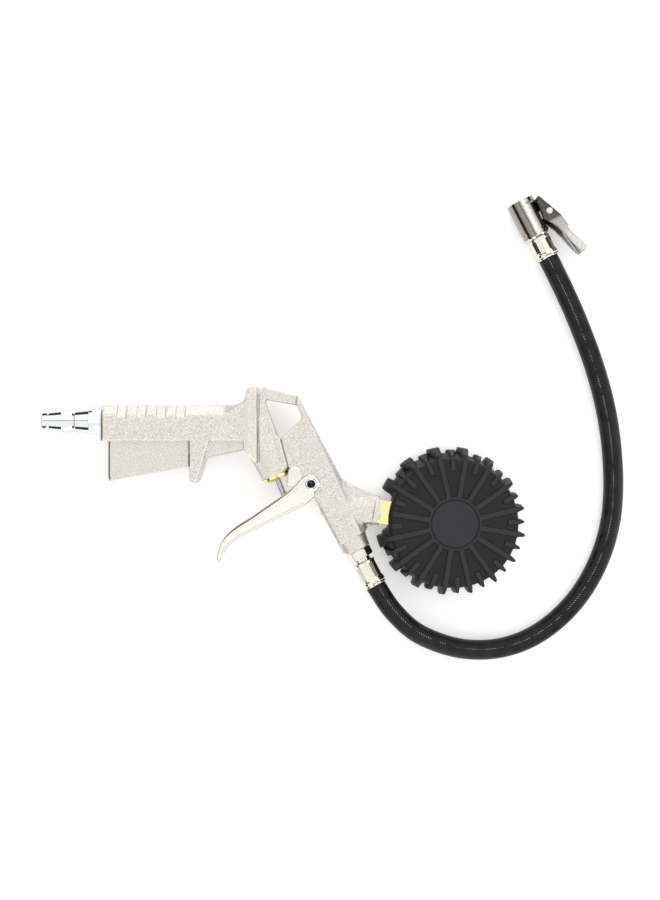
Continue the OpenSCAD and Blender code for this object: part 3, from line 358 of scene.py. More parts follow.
# %% Signed distances
def outline(x, y, corners):
    """Distance to a closed polygon in the plane: to its nearest edge, negative where a ray crosses its
    edges an odd number of times."""
    p = np.asarray(corners, float)
    nearest = np.full(np.broadcast(x, y).shape, 1e9)
    inside = np.zeros(nearest.shape, bool)
    for (ax, ay), (bx, by) in zip(p, np.roll(p, -1, 0)):
        ex, ey = bx - ax, by - ay
        t = np.clip(((x - ax) * ex + (y - ay) * ey) / (ex * ex + ey * ey), 0, 1)
        nearest = np.minimum(nearest, (x - ax - t * ex) ** 2 + (y - ay - t * ey) ** 2)
        if ey:
            inside ^= ((ay > y) != (by > y)) & (x < ex * (y - ay) / ey + ax)
    return np.where(inside, -1, 1) * np.sqrt(nearest)


def both(a, b, r):
    """Inside both distances, with the edge where they meet rounded to radius r."""
    u, v = a + r, b + r
    return np.minimum(np.maximum(u, v), 0) + np.hypot(np.maximum(u, 0), np.maximum(v, 0)) - r


def melt(a, b, k):
    """Inside either distance, with a fillet of about k where they meet."""
    h = np.maximum(k - np.abs(a - b), 0) / k
    return np.minimum(a, b) - h * h * k / 4


def carve(a, b, r):
    """Inside the first distance and outside the second, with the rim rounded to radius r."""
    return both(a, -b, r)


def plate(flat, z, half, r):
    """A flat distance given a thickness: inside it and within half of the middle, with round edges."""
    return both(flat, np.abs(z) - half, r)


def rod(along, off, z, radius, start, end, r):
    """A round bar between two places on its axis."""
    return both(np.hypot(off, z) - radius, np.abs(along - (start + end) / 2) - (end - start) / 2, r)


def local(seat, x, y):
    """Distances along and beside a seat's axis."""
    dx, dy = x - seat.at[0], y - seat.at[1]
    return dx * seat.x[0] + dy * seat.x[1], dx * seat.y[0] + dy * seat.y[1]


class Lattice:
    """Cells of one size over the upper half of a box; the lower half is its mirror image."""

    def __init__(self, low, high, cell):
        self.low, self.cell = np.array(low, float), cell
        counts = [int((b - a) / cell) + 1 for a, b in zip(low, high)]
        self.layers = int(high[2] / cell) + 1
        self.x = (low[0] + cell * np.arange(counts[0]))[:, None, None]
        self.y = (low[1] + cell * np.arange(counts[1]))[None, :, None]
        self.z = (cell * np.arange(self.layers))[None, None, :]

    def piece(self, name, seat, distance, body="pistol", smooth=50.0):
        """The zero surface of a distance, mirrored below the middle, as a piece."""
        field = np.concatenate([distance[:, :, :0:-1], distance], 2).astype(np.float32)
        volume = openvdb.FloatGrid(4.0)
        volume.copyFromArray(field)
        points, quads = volume.convertToQuads(isovalue=0.0)
        points = points * self.cell + [self.low[0], self.low[1], -(self.layers - 1) * self.cell]
        return make_piece(name, seat.place(points), quads.tolist(), body, smooth)


# %% [markdown]
# The grip: a thick bar with a bevel along its back, four grooves across the bevel, a thinner skirt
# that fills the palm, a finger stop, and a neck that runs to the valve column.

# %% Grip of the casting
cells = Lattice((-89.2, -79.5, 0), (78.0, 21.6, 15.2), 0.43)
x, y, z = cells.x, cells.y, cells.z
HALF = 14.5
BACK, BEVEL_DOWN, BEVEL_IN = 9.4, 6.0, 5.5

grip_flat = np.minimum(
    outline(x, y, [(-88, -12), (0.2, -12), (0.2, 9.4), (-88, 9.4)]),
    carve(outline(x, y, [(-10.5, 8), (0.2, 8), (0.2, 19.7), (-10.5, 19.7)]),
          np.hypot(x + 10.5, y - 19.9) - 10.5, 0.3))
stop_flat = outline(x, y, [(-35.2, -8), (-35.2, -35.4), (-34.2, -36.9), (-32.4, -37.4), (-31.2, -36.0),
    (-23.7, -12), (-23, -8)])
bar = plate(melt(grip_flat, stop_flat, 0.8), z, HALF, 0.7)
rise = np.where(x < -10.5, BACK, 19.9 - np.sqrt(np.maximum(10.5 ** 2 - (x + 10.5) ** 2, 0)))
bevel_share = 1 - 0.75 * step(-16, -6, x)
slope = np.hypot(BEVEL_DOWN, BEVEL_IN)
bevel = ((y - rise + BEVEL_DOWN * bevel_share) * BEVEL_IN + (z - HALF) * BEVEL_DOWN) / slope
bar = both(bar, bevel, 0.8)
groove_place = np.abs((x + 75.3 + 5.8) % 11.6 - 5.8)
groove = both(groove_place - 2.85, np.maximum(-80 - x, x + 35.5), 0.1)
bar = carve(bar, both(groove, -bevel - 1.1, 0.2), 0.25)

bar = carve(bar, both(np.abs(x + 86.9) - 0.5, HALF - 3.2 - z, 0.1), 0.15)

skirt_flat = outline(x, y, [(-84, -8), (-84, -36.3), (-36.1, -27.8), (-36.1, -8)])
skirt_bottom = ((x + 84) * -8.5 + (y + 36.3) * -47.9) / math.hypot(8.5, 47.9)
skirt = both(plate(skirt_flat, z, 11.0, 0.5), both(skirt_bottom, z - 11.0, 4.6), 0.2)
skirt = carve(skirt, both(both(np.abs(x + 83.0) - 0.45, 7.8 - z, 0.1), y + 12.5, 0.1), 0.15)
bridge = plate(outline(x, y, [(-37, -10), (-37, -20), (-34, -20), (-34, -10)]), z, 9.5, 0.3)
neck_flat = outline(x, y, [(-31.2, -8), (-26.9, -22.7), (-3.6, -17.4), (0, -8)])
neck_bottom = ((x + 26.9) * 5.3 + (y + 22.7) * -23.3) / math.hypot(5.3, 23.3)
neck = both(plate(neck_flat, z, 11.0, 0.5), both(neck_bottom, z - 11.0, 2.6), 0.2)
grip_part = melt(melt(bar, np.minimum(skirt, bridge), 0.5), neck, 0.6)
print("lattice:", np.broadcast(x, y, z).shape, "cells of", cells.cell, "mm")

# %% [markdown]
# The head: a slanting facet drops from the thick grip to the round valve column. The barrel leans
# beside it with the hang hole between them, and the gauge's branch leaves the barrel to the right.

# %% Head, barrel and branch of the casting
facet_flat = outline(x, y, [(-2, 19.7), (4.6, 19.7), (4.6, -24.4), (3.4, -25.6), (-3.4, -17.2), (-3.4, -8)])
facet = both(plate(facet_flat, z, HALF, 0.35), ((x - 0.1) * 4.5 + (z - HALF) * 4.6) / math.hypot(4.5, 4.6),
    0.35)

s_up, s_side = local(column, x, y)
shaft = rod(s_up, s_side, z, 8.7, 0, 62, 0.5)
shaft = both(shaft, np.maximum(y - 20.2, np.where(y > 8, -1.5 - x, -99)), 0.4)
pillar_flat = outline(x, y, [(-2, 19.7), (8.3, 20.3), (13.9, 0), (22.6, -28.4), (18, -30.5), (7.6, -35),
    (-3.2, -17)])
pillar = plate(pillar_flat, z, 7.6, 1.6)
pillar = melt(pillar, shaft, 2.0)

u, v = local(barrel, x, y)
barrel_flat = outline(u, v, [
    (-50.4, 11.1), (6, 11.6), (41, 10.4), (44, 8.6), (48, 8.3), (48, -8.3), (45, -8.5), (8, -8.6), (-10, -10),
    (-34, -14.5), (-34, -9), (-36.3, 5), (-39.5, 6.9), (-46, 7.6)])
tube_part = plate(barrel_flat, z, 8.5, 0.8)
edge_line = np.where(u < 6, 11.1 + (u + 50.4) * 0.5 / 56.4, 11.6 - (u - 6) * 1.2 / 35)
edge_cut = 0.9 + 3.0 * step(-45, 36, u)
tube_part = both(tube_part, ((v - edge_line + edge_cut) + (z - 8.5)) / math.sqrt(2), 0.5)
tube_part = both(tube_part, ((-v - 8.6 + 1.7 * step(2, 16, u)) + (z - 8.5)) / math.sqrt(2), 0.5)
tube_part = both(tube_part, np.where(u > 40, np.hypot(v, z) - 9.3, -9.0), 0.8)

strap = plate(outline(x, y, [(3, 20.5), (7, 20.5), (28.9, 15.0), (30, 8), (27, 8.5), (10, 11.8), (3, 11)]),
    z, 6.6, 0.9)
web = plate(outline(x, y, [
    (14, -10), (30, -2), (40, -20), (38, -44), (31, -37), (32.6, -34.2), (30.9, -31.8), (27.2, -27.3),
    (24.4, -28.6),
    (18, -24)]), z, 8.1, 0.8)
boss = both(np.hypot(x - pivot[0], y - pivot[1]) - 5.5, z - 8.3, 0.5)

t_along, t_side = local(branch, x, y)
arm = rod(t_along, t_side, z, 7.8, -6, 29.0, 0.5)
arm = melt(arm, rod(t_along, t_side, z, 8.7, 24.8, 29.0, 0.4), 0.6)
gusset = plate(outline(t_along, t_side, [
    (-4, 8), (4, 14.6), (10, 12.6), (28.2, 7.9), (28.2, -7.3), (14, -9.5), (0, -12)]), z, 6.2, 2.4)
rib = plate(outline(t_along, t_side, [(4, -4), (28.4, -6.8), (15, -15.2), (7, -19.5)]), z, 1.5, 0.5)
arm = melt(melt(arm, gusset, 2.0), rib, 1.4)

head = melt(melt(facet, pillar, 0.5), melt(strap, tube_part, 1.2), 0.8)
head = melt(head, melt(web, boss, 0.8), 0.8)
head = melt(head, arm, 2.4)
solid = melt(grip_part, head, 0.6)

saddle_line = both(both(np.abs(x - 5.0) - 0.55, np.maximum(y - 15.5, -24.4 - y), 0.2), 6.4 - z, 0.2)
solid = carve(solid, saddle_line, 0.25)
crease = outline(x, y, [(17.9, -10.9), (18.6, -10.7), (23.2, -28.2), (22.5, -28.4)])
solid = carve(solid, both(crease, 5.4 - z, 0.1), 0.25)
hang_hole = outline(x, y, [(8.8, 11.2), (9.8, 12.7), (27.6, 9.3), (30.6, 2.6), (30.4, 0.6), (19.2, -10.2),
    (17.2, -10.6)])
solid = carve(solid, hang_hole + 0 * z, 0.7)
solid = carve(solid, rod(s_up, s_side, z, 6.0, -3, 41, 0.2), 0.3)
solid = carve(solid, rod(x, y, z, 6.25, -92, -74, 0.2), 0.5)
solid = carve(solid, np.hypot(x - pivot[0], y - pivot[1]) - 2.65 + 0 * z, 0.2)
casting = cells.piece("casting", grip, solid)
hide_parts("gun_body")
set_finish(casting, "cast_body")
del solid, head, grip_part, bar, arm, pillar

# %% [markdown]
# The trigger is a sheet-metal channel that opens towards the grip. Its outer form is one rounded
# plate, and a second, smaller form is carved out of it, which leaves two cheeks and a bent web.

# %% Trigger
TRIGGER_TOP = [(-4.2, 4.3), (-18.2, -6.4), (-33.9, -17.3), (-46.2, -26.2), (-53.4, -34.4), (-56.3, -43.1)]
TRIGGER_LOW = [(2.0, -7.8), (-4.3, -13.2), (-18.1, -20.1), (-37.7, -29.9), (-45.0, -34.1), (-50.3, -39.8)]
TRIGGER_TIP = (-55.3, -48.5)


def flowing(corners, pieces):
    """A smooth line through corners in the plane, by the same cubic as the hose's."""
    p = np.array([(a, b, 0.0) for a, b in corners])
    return smooth_line(p, pieces)[:, :2]


top_line = flowing([(0, 6.4)] + TRIGGER_TOP, 5)
low_line = flowing(TRIGGER_LOW + [TRIGGER_TIP], 5)
trigger_cells = Lattice((-58.5, -51, 0), (7.5, 8.2, 11.4), 0.33)
x, y, z = trigger_cells.x, trigger_cells.y, trigger_cells.z
form = outline(x, y, np.concatenate([top_line, low_line[::-1]]))
form = melt(form, np.hypot(x, y) - 5.5, 1.0)
channel = plate(form, z, 10.45, 1.5)
inner_low = low_line + [-0.75, 1.45]
hollow_flat = outline(x, y, np.concatenate([[(6, 12), (9, -16), (-2.5, -16)], inner_low[6:],
    [(-57.4, -46), (-66, -40), (-40, 12)]]))
channel = carve(channel, plate(hollow_flat, z, 8.85, 0.5), 0.25)
lip = outline(x, y, np.concatenate([top_line[4:], [(-66, -44), (-66, 12)]]))
lip_share = 2.0 * (1 - step(-12, -3, x)) * step(-62, -34, x) + 0.5
channel = both(channel, (-lip + lip_share) * 0.66 + (z - 10.45) * 0.75, 0.2)
keel = outline(x, y, np.concatenate([low_line, [(-66, -60), (10, -60), (10, -8)]]))
keel_line = both(both(np.abs(keel - 1.7) - 0.34, np.abs(x + 28.5) - 24.0, 0.2), 9.5 - z, 0.1)
channel = carve(channel, keel_line, 0.15)
channel = carve(channel, np.hypot(x, y) - 2.66 + 0 * z, 0.15)
trigger = trigger_cells.piece("trigger_channel", trigger_seat, channel, "trigger")
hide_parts("trigger")
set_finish(trigger, "cream_trigger")
del channel, form

# %% [markdown]
# A polished lug fills the fork above the trigger, between its cheeks.

# %% Fork lug
lug_cells = Lattice((20.0, -43, 0), (34.0, -25, 9.2), 0.25)
x, y, z = lug_cells.x, lug_cells.y, lug_cells.z
lug = plate(outline(x, y, [
    (21.8, -38.6), (22.3, -31.6), (23.9, -28.3), (26.5, -27.0), (29.8, -28.1), (31.3, -31), (31.4, -34.5),
    (26.5, -40)]), z, 8.5, 1.0)
fork_lug = lug_cells.piece("fork_lug", grip, lug)
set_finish(fork_lug, "cream_trigger")

# %% [markdown]
# The trigger turns on a tubular rivet: its rolled ends are rings, and the blind bore between them
# is painted near black, a painted shade.

# %% Trigger rivet
rivet_profile = [(-4, 0.05), (-4, 2.1), (10.4, 2.1), (10.95, 2.2), (11.35, 2.5), (11.4, 2.9), (11.15, 3.3),
                 (10.75, 3.5), (10.5, 3.45), (10.48, 2.55), (-10.48, 2.55), (-10.5, 3.45), (-10.75, 3.5),
                 (-11.15, 3.3),
                 (-11.4, 2.4), (-11.5, 0.05)]
rivet_line = eased(rivet_profile, 0.12, False)
around = np.arange(72) * 2 * np.pi / 72
rivet_grid = np.stack([rivet_line[:, 1:] * np.cos(around), rivet_line[:, 1:] * np.sin(around),
    rivet_line[:, :1] * np.ones(72)], -1)
rivet = grid_piece("trigger_rivet", trigger_seat.place(rivet_grid), False, "pistol")
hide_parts("trigger_pin")
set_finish(rivet, "steel_plug")

# %% [markdown]
# The gauge's boot is a moulded rubber cup with a ribbed back and tread lugs round its wall. The lugs
# are drawn larger beside the stem, up to 47.2 mm from the middle, than opposite it, which suits the
# view from above. A real boot is more likely round, and the frame's own boot is, at 44.5 mm. The
# boot is one surface over two parameters: how far along the cup's profile, from the middle of the
# back over the wall and the lip to the inside, and the angle round the gauge. It has no opening for
# the stem, which passes through its wall.

# %% Rubber boot
BOOT_SIDES = 640
BACK_Z, PANEL_DEEP, WALL_R, FRONT_Z = 13.0, 1.0, 37.5, -16.0
BACK_EDGE = 36.8
RIB_STEP = 22.5
theta = (np.arange(BOOT_SIDES) * 360 / BOOT_SIDES)[None, :]


def off_nearest(angle, spacing, start=0.0):
    """The signed angle to the nearest of a set of evenly spaced directions."""
    return (angle - start + spacing / 2) % spacing - spacing / 2


def back_height(radius):
    """Height of the boot's back: panels, raised by ribs of constant width, a ring and a disc with a
    groove between."""
    far = np.radians(1) * radius
    rib = 1 - step(1.3, 1.85, np.abs(off_nearest(theta, RIB_STEP) * far))
    short = (1 - step(1.2, 1.7, np.abs(off_nearest(theta, RIB_STEP, RIB_STEP / 2) * far))) * step(30.9,
        31.6, radius)
    raised = np.maximum(np.maximum(rib, short), 1 - step(15.7, 16.3, radius))
    groove = step(13.5, 13.9, radius) * (1 - step(14.3, 14.7, radius))
    return BACK_Z - PANEL_DEEP * (1 - raised) - 0.6 * groove - 0.15 * (1 - step(13.2, 13.7, radius))


def wall_radius(height):
    """Radius of the wall: narrow lugs where it faces away from the stem, and broad leaning ones beside
    the stem."""
    down = 1 - step(-3, 11, height)
    stem_side = 0.5 + 0.5 * np.cos(np.radians(theta - 159))
    grown = down * stem_side
    ends = step(FRONT_Z + 0.6, FRONT_Z + 3.2, height)
    clear = step(13, 17, np.abs(off_nearest(theta, 360, 180)))
    reach = 1.9 * stem_side * (1 - step(9.5, 11.5, height)) + 4.0 * grown * clear
    for start, lean, narrow, wide, low, high in ((0, 1.8, 1.5, 2.9, 4.3, 5.4),
        (RIB_STEP / 2, -0.8, 1.35, 2.2, 3.4, 4.2)):
        away = np.abs(off_nearest(theta, RIB_STEP, start + lean * grown)) * np.radians(1) * 41
        half = narrow + wide * grown
        lug = 1 - step(half - 0.9, half + 0.5, away)
        reach = np.maximum(reach, lug * clear * (low + high * grown))
    return WALL_R + reach * ends


back_r = np.concatenate([[0.4, 3, 6, 9, 12, 13], np.arange(13.3, 16.7, 0.25), np.arange(17, 36.7, 0.42)])[:,
    None]
back = np.stack([back_r * np.ones(BOOT_SIDES), back_height(back_r)], -1)
rim_share = np.array([0.1, 0.4, 0.7, 0.93])[:, None]
rim = np.stack([BACK_EDGE + (wall_radius(12.5) - BACK_EDGE) * rim_share,
    back_height(np.array([[BACK_EDGE]])) - 0.12 * rim_share ** 4 * 6], -1)
wall_z = np.concatenate([[12.35, 11.8, 11.2], np.arange(10.6, -15.2, -0.52), [-15.4]])[:, None]
wall_top = np.minimum(wall_z, back_height(np.array([[BACK_EDGE]])) - 0.9)
wall = np.stack([wall_radius(wall_z), wall_top * np.ones(BOOT_SIDES)], -1)
inner = np.array([(36.9, -15.9), (36, -16), (31.8, -16), (31.2, -15.7), (31.1, -15.2), (31.1, -14.1),
    (35.5, -14.0),
                  (35.55, -6.0), (34.6, -5.9), (34.6, 10.3), (34.0, 10.45), (0.4, 10.45)])
inner = inner[:, None, :] * np.ones((1, BOOT_SIDES, 1))
section = np.concatenate([back, rim, wall, inner])
spin = np.radians(theta)
boot_grid = np.stack([section[..., 0] * np.cos(spin), section[..., 0] * np.sin(spin), section[..., 1]], -1)
boot = grid_piece("rubber_boot", gauge.place(boot_grid), smooth=42)
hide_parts("gauge_boot")
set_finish(boot, "boot_rubber")

# %% [markdown]
# The inlet plug is turned from bar: a nose, a land for the coupler's balls, a waist and a hexagon.
# The corners of the profile are eased, because real turned edges are never quite sharp, and it is
# those edges that catch the light.

# %% Inlet plug, nut and ferrules
plug_profile = [(-37, 3.6), (-37, 5.4), (-36, 6.35), (-32, 6.4), (-24.5, 7.5), (-22, 7.5), (-21, 7.2),
    (-18.4, 6.45), (-16.7, 6.75),
                (-16.4, 7.2), (-8.6, 8.15), (-8.1, 8.2), (-8.05, 8.7), (-0.9, 8.7), (-0.6, 8.4),
                (-0.6, 6.2), (11, 6.2), (11, 3.6)]
plug = turned("quick_plug", Seat([-88, 0, 0], 0), plug_profile, sides=120, flats=(-8.06, -0.5, 16.0),
    ring=True, ease=0.22, twist=0.16)
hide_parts("inlet_plug")
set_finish(plug, "steel_plug")

nut_profile = [(-9, 1.8), (-9, 4.9), (0, 4.9), (0, 7.0), (0.5, 7.9), (5.0, 7.9), (5.5, 7.1), (5.5, 5.0),
    (7.7, 5.0), (7.7, 2.9),
               (20.7, 2.9), (20.7, 1.8)]
nut = turned("hose_nut", Seat(barrel.on(BARREL_END), 27.4 - 90), nut_profile, sides=120,
    flats=(0.2, 5.3, 14.0), ring=True, ease=0.2)
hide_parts("hose_nipple")
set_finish(nut, "nickel_fitting")


def crimp(start, end, flat, count=14):
    """A squeeze that presses long flats into a ferrule between two places, fading at their ends."""
    def squeeze(place, angle, radius):
        off = np.abs((angle + np.pi / 2 / count) % (2 * np.pi / count) - np.pi / count)
        depth = np.maximum(radius - flat / np.cos(off), 0)
        return radius - depth * step(start, start + 0.8, place) * (1 - step(end - 0.8, end, place))
    return squeeze


def ferrule_profile(length):
    """A ferrule: a thin floor, a long wall, a rolled bead near its mouth and a flared mouth round the
    hose."""
    body = [(x, 6.95) for x in np.arange(0.9, length - 3.9, 0.45)]
    return [(0, 3.0), (0, 6.3), (0.4, 6.9), *body, (length - 3.7, 6.95), (length - 3.1, 7.38),
        (length - 1.7, 7.38),
            (length - 1.2, 6.85), (length - 0.3, 7.1), (length, 6.9), (length, 6.03), (1, 6.03), (1, 3.0)]


gun_ferrule = turned("gun_ferrule_crimped", Seat(barrel.on(BARREL_END + 7.7), 27.4 - 90),
    ferrule_profile(15.8), ring=True,
                     squeeze=crimp(1.2, 11.6, 6.62), ease=0.12, sides=168)
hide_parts("gun_ferrule")
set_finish(gun_ferrule, "nickel_fitting")
CHUCK_TURN, CHUCK_Z, CHUCK_FERRULE = 117, 8.8, 13.5
chuck = Seat([hose_exit[0] + ROUTE[-1][0], hose_exit[1] + ROUTE[-1][1], CHUCK_Z - 16], CHUCK_TURN)
chuck_ferrule = turned("chuck_ferrule_crimped", Seat(chuck.on(CHUCK_FERRULE), CHUCK_TURN + 180),
    ferrule_profile(CHUCK_FERRULE),
                       ring=True, squeeze=crimp(1.2, 9.4, 6.62), ease=0.12, sides=168)
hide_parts("chuck_ferrule")
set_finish(chuck_ferrule, "nickel_fitting")
cone = turned("chuck_cone_nut", chuck, [(1.5, 1.8), (1.5, 2.9), (13.5, 2.9), (13.5, 6.5), (14.6, 7.35),
    (15, 7.4), (15, 4.6), (20.5, 4.6),
                                      (20.5, 1.8)], ring=True, ease=0.15)
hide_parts("chuck_nipple")
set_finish(cone, "nickel_fitting")

# %% [markdown]
# The chuck's lever is pressed from sheet: two cheeks beside the chuck, a back that joins them, and a
# thumb tab with a joggle. Its corners are soft bends, so it is drawn from distances as well.

# %% Chuck lever
LEVER_LOW = [(22, 6.5), (17.5, 10), (14, 11.9), (6.8, 14.2), (1.8, 15.4), (-5.0, 17.6)]
LEVER_HIGH = [(-4.4, 22.9), (10.5, 17.9), (12, 18.8), (19.4, 17.6), (35.9, 10.6)]
lever_cells = Lattice((-7.6, -25, 0), (37.5, -4.0, 7.9), 0.24)
x, y, z = lever_cells.x, lever_cells.y, lever_cells.z
lever_flat = outline(x, -y, LEVER_LOW + [(-6.2, 18.4), (-6.4, 20.6), (-5.8, 22.2)] + LEVER_HIGH + [(35.2,
    8.6), (33.8, 7.8), (24, 7.2)])
lever = plate(lever_flat, z, 7.2, 1.1)
inside = outline(x, -y, [(-9, 12), (-9, 20.2), (10.2, 16.6), (11.9, 17.5), (19.2, 16.3), (38, 8.4), (38, 0),
    (20, 0)])
lever = carve(lever, plate(inside, z, 6.0, 0.8), 0.2)
claw = both(both(np.abs(x - 32.2) - 1.6, np.abs(y + 8.15) - 3.45, 0.2), z - 1.8, 0.2)
lever = melt(lever, claw, 0.6)
lever = carve(lever, np.hypot(x - 24.6, y + 12) - 1.26 + 0 * z, 0.1)
lever_piece = lever_cells.piece("chuck_lever_pressed", chuck, lever, "chuck_lever")
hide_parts("chuck_lever")
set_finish(lever_piece, "lever_plate")
del lever

# %% [markdown]
# The dial faces the bench, so it is seen only from below. It gets plain marks and numbers, drawn as
# short flat strokes a tenth of a millimetre proud of the plate. Digits are strokes on a small grid.

# %% Dial marks
DIGITS = {"0": "abcdef", "2": "abged", "4": "fgbc", "6": "afgecd", "8": "abcdefg", "1": "bc"}
SEGMENTS = {"a": ((0, 2), (1, 2)), "b": ((1, 2), (1, 1)), "c": ((1, 1), (1, 0)), "d": ((0, 0), (1, 0)),
    "e": ((0, 0), (0, 1)),
            "f": ((0, 1), (0, 2)), "g": ((0, 1), (1, 1))}
DIAL_FRONT, DIAL_START, DIAL_SWEEP = -8.2, 225.0, 270.0


def strokes(pairs, width):
    """Flat bars round straight lines: each end moved half the width past its point, and both sides half
    a width out."""
    p = np.asarray(pairs, float)
    run = p[:, 1] - p[:, 0]
    run /= np.linalg.norm(run, axis=1, keepdims=True)
    side = np.stack([-run[:, 1], run[:, 0]], 1) * width / 2
    run = run * width / 2
    flat = np.stack([p[:, 0] - run - side, p[:, 1] + run - side, p[:, 1] + run + side,
        p[:, 0] - run + side], 1)
    top = np.concatenate([flat, np.full(flat.shape[:2] + (1,), DIAL_FRONT - 0.02)], 2)
    low = np.concatenate([flat, np.full(flat.shape[:2] + (1,), DIAL_FRONT - 0.12)], 2)
    return np.concatenate([top, low], 1).reshape(-1, 3)


marks, heavy = [], []
for i in range(61):
    a = math.radians(DIAL_START + DIAL_SWEEP * i / 60)
    near = 25.6 if i % 5 == 0 else 27.0
    line = [(near * math.cos(a), near * math.sin(a)), (28.4 * math.cos(a), 28.4 * math.sin(a))]
    (heavy if i % 5 == 0 else marks).append(line)
for i in range(7):
    a = math.radians(DIAL_START + DIAL_SWEEP * i / 6)
    text = str(i * 20) if i < 6 else "120"
    width = 2.7 * len(text) - 0.9
    for k, digit in enumerate(text):
        for segment in DIGITS.get(digit, ""):
            ends = np.array(SEGMENTS[segment], float) * (1.8, 1.6) + (2.7 * k - width / 2, -1.6)
            heavy.append([(21.4 * math.cos(a) + ey, 21.4 * math.sin(a) + ex) for ex, ey in ends])
points = np.concatenate([strokes(marks, 0.25), strokes(heavy, 0.45)])
block = np.arange(len(points) // 8)[:, None, None] * 8
sides_of_bar = np.array([(0, 1, 2, 3), (7, 6, 5, 4), (0, 4, 5, 1), (1, 5, 6, 2), (2, 6, 7, 3), (3, 7, 4, 0)])
dial_marks = make_piece("dial_marks", gauge.place(points), (block + sides_of_bar).reshape(-1, 4).tolist(),
    smooth=20)
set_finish(dial_marks, "case_paint")

# %% [markdown]
# Each finish starts from the real material. All patterns are sized in real millimetres on Object
# coordinates, which are metres here, so a grain of 0.5 mm has a scale of 2000.


# %% Material helpers
def finish(name, colour, roughness, metallic=0.0, **sockets):
    """A material with one shader: its plain values are set on the shader's own sockets."""
    made = bpy.data.materials.new(name)
    made.use_nodes = True
    shader = made.node_tree.nodes["Principled BSDF"]
    shader.inputs["Base Color"].default_value = hex_colour(colour)
    shader.inputs["Roughness"].default_value = roughness
    shader.inputs["Metallic"].default_value = metallic
    for key, value in sockets.items():
        shader.inputs[key.replace("_", " ")].default_value = value
    return made, made.node_tree, shader


def noise(tree, millimetres, detail=2.0, coordinates=None):
    """Noise with a grain of about this many millimetres, on Object coordinates."""
    if coordinates is None:
        coordinates = add(tree, "ShaderNodeTexCoord").outputs["Object"]
    return add(tree, "ShaderNodeTexNoise", {"Vector": coordinates, "Scale": 1000 / millimetres,
        "Detail": detail})


def bump(tree, shader, heights, millimetres, strength=1.0):
    """Bump from a 0 to 1 height that stands for this many millimetres."""
    node = add(tree, "ShaderNodeBump", {"Height": heights, "Distance": millimetres / 1000,
        "Strength": strength})
    tree.links.new(node.outputs["Normal"], shader.inputs["Normal"])
    return node


def blend_colours(tree, share, low, high):
    """A ramp between two colours over a 0 to 1 share."""
    ramp = add(tree, "ShaderNodeValToRGB", {"Fac": share})
    ramp.color_ramp.elements[0].color = hex_colour(low)
    ramp.color_ramp.elements[1].color = hex_colour(high)
    return ramp


def spread(tree, value, low, high, to_low=0.0, to_high=1.0):
    """The value's range from low to high stretched to another range, and clamped there."""
    return add(tree, "ShaderNodeMapRange", {"Value": value, "From Min": low, "From Max": high,
                                            "To Min": to_low, "To Max": to_high}).outputs["Result"]


# %% [markdown]
# The casting is zinc, sand-blasted and nickel-plated. Blasting leaves pits of about 0.3 mm, drawn a
# little coarser so that they show, and its sharpest edges are painted a lighter cream, a painted highlight.

# %% Casting finish
blasted, tree, shader = finish("sand_blasted_nickel", "dcd6cb", 0.42, 1.0)
pits = noise(tree, 0.42, 2.0)
cloud = noise(tree, 9.0, 2.0)
# painted highlight: the most convex edges, found by pointiness, are mixed towards a light cream
edge_pointiness = add(tree, "ShaderNodeNewGeometry").outputs["Pointiness"]
edge = spread(tree, edge_pointiness, 0.515, 0.545)
grain = spread(tree, pits.outputs["Fac"], 0.36, 0.64)
tone = blend_colours(tree, grain, "b3ada4", "efebe4")
tone_with_painted_edge_highlight = add(tree, "ShaderNodeMixRGB", {"Fac": edge, "Color1": tone.outputs["Color"],
    "Color2": hex_colour("f4efe4")})
tree.links.new(tone_with_painted_edge_highlight.outputs["Color"], shader.inputs["Base Color"])
rough = spread(tree, cloud.outputs["Fac"], 0.3, 0.7, 0.40, 0.50)
tree.links.new(rough, shader.inputs["Roughness"])
bump(tree, shader, grain, 0.05, 0.8)
casting.data.materials.append(blasted)
print("finish:", blasted.name)

# %% [markdown]
# Bright fittings are brass with a polished nickel or chrome plate. The plate is nearly a mirror, and
# what the eye sees is the light panels, the dim room and fine polishing lines.


# %% Plated finishes
def plated(name, colour, roughness, lines):
    """Polished plate with faint polishing marks: long thin noise that disturbs only the roughness and
    the bump."""
    made, tree, shader = finish(name, colour, roughness, 1.0)
    marks = noise(tree, lines, 3.0)
    tree.links.new(spread(tree, marks.outputs["Fac"], 0.3, 0.7, roughness * 0.96, roughness * 1.05),
        shader.inputs["Roughness"])
    bump(tree, shader, noise(tree, lines * 4, 1.0).outputs["Fac"], 0.01, 0.5)
    return made


chrome = plated("polished_chrome", "d8d9da", 0.07, 0.8)
trigger_plate = plated("polished_nickel_trigger", "f1ede2", 0.22, 1.2)
nickel = plated("bright_nickel", "ddd8cc", 0.12, 0.9)
steel = plated("turned_steel", "b9bbbd", 0.22, 0.5)
spring_steel = plated("drawn_spring_steel", "9fa1a4", 0.3, 0.4)
brass = plated("bright_turned_brass", "f7e4a8", 0.2, 0.5)
rolled_brass = plated("rolled_brass", "cfae66", 0.3, 1.0)


def across(tree, seat, axis):
    """Millimetres from a seat's place along one of its axes, on Object coordinates."""
    line = [float(c) * 1000 for c in axis]
    start = float(np.dot(to_row(seat.at), line))
    dot = add(tree, "ShaderNodeVectorMath", {0: add(tree, "ShaderNodeTexCoord").outputs["Object"], 1: line},
        operation="DOT_PRODUCT")
    return add(tree, "ShaderNodeMath", {0: dot.outputs["Value"], 1: start}, operation="SUBTRACT").outputs[0]


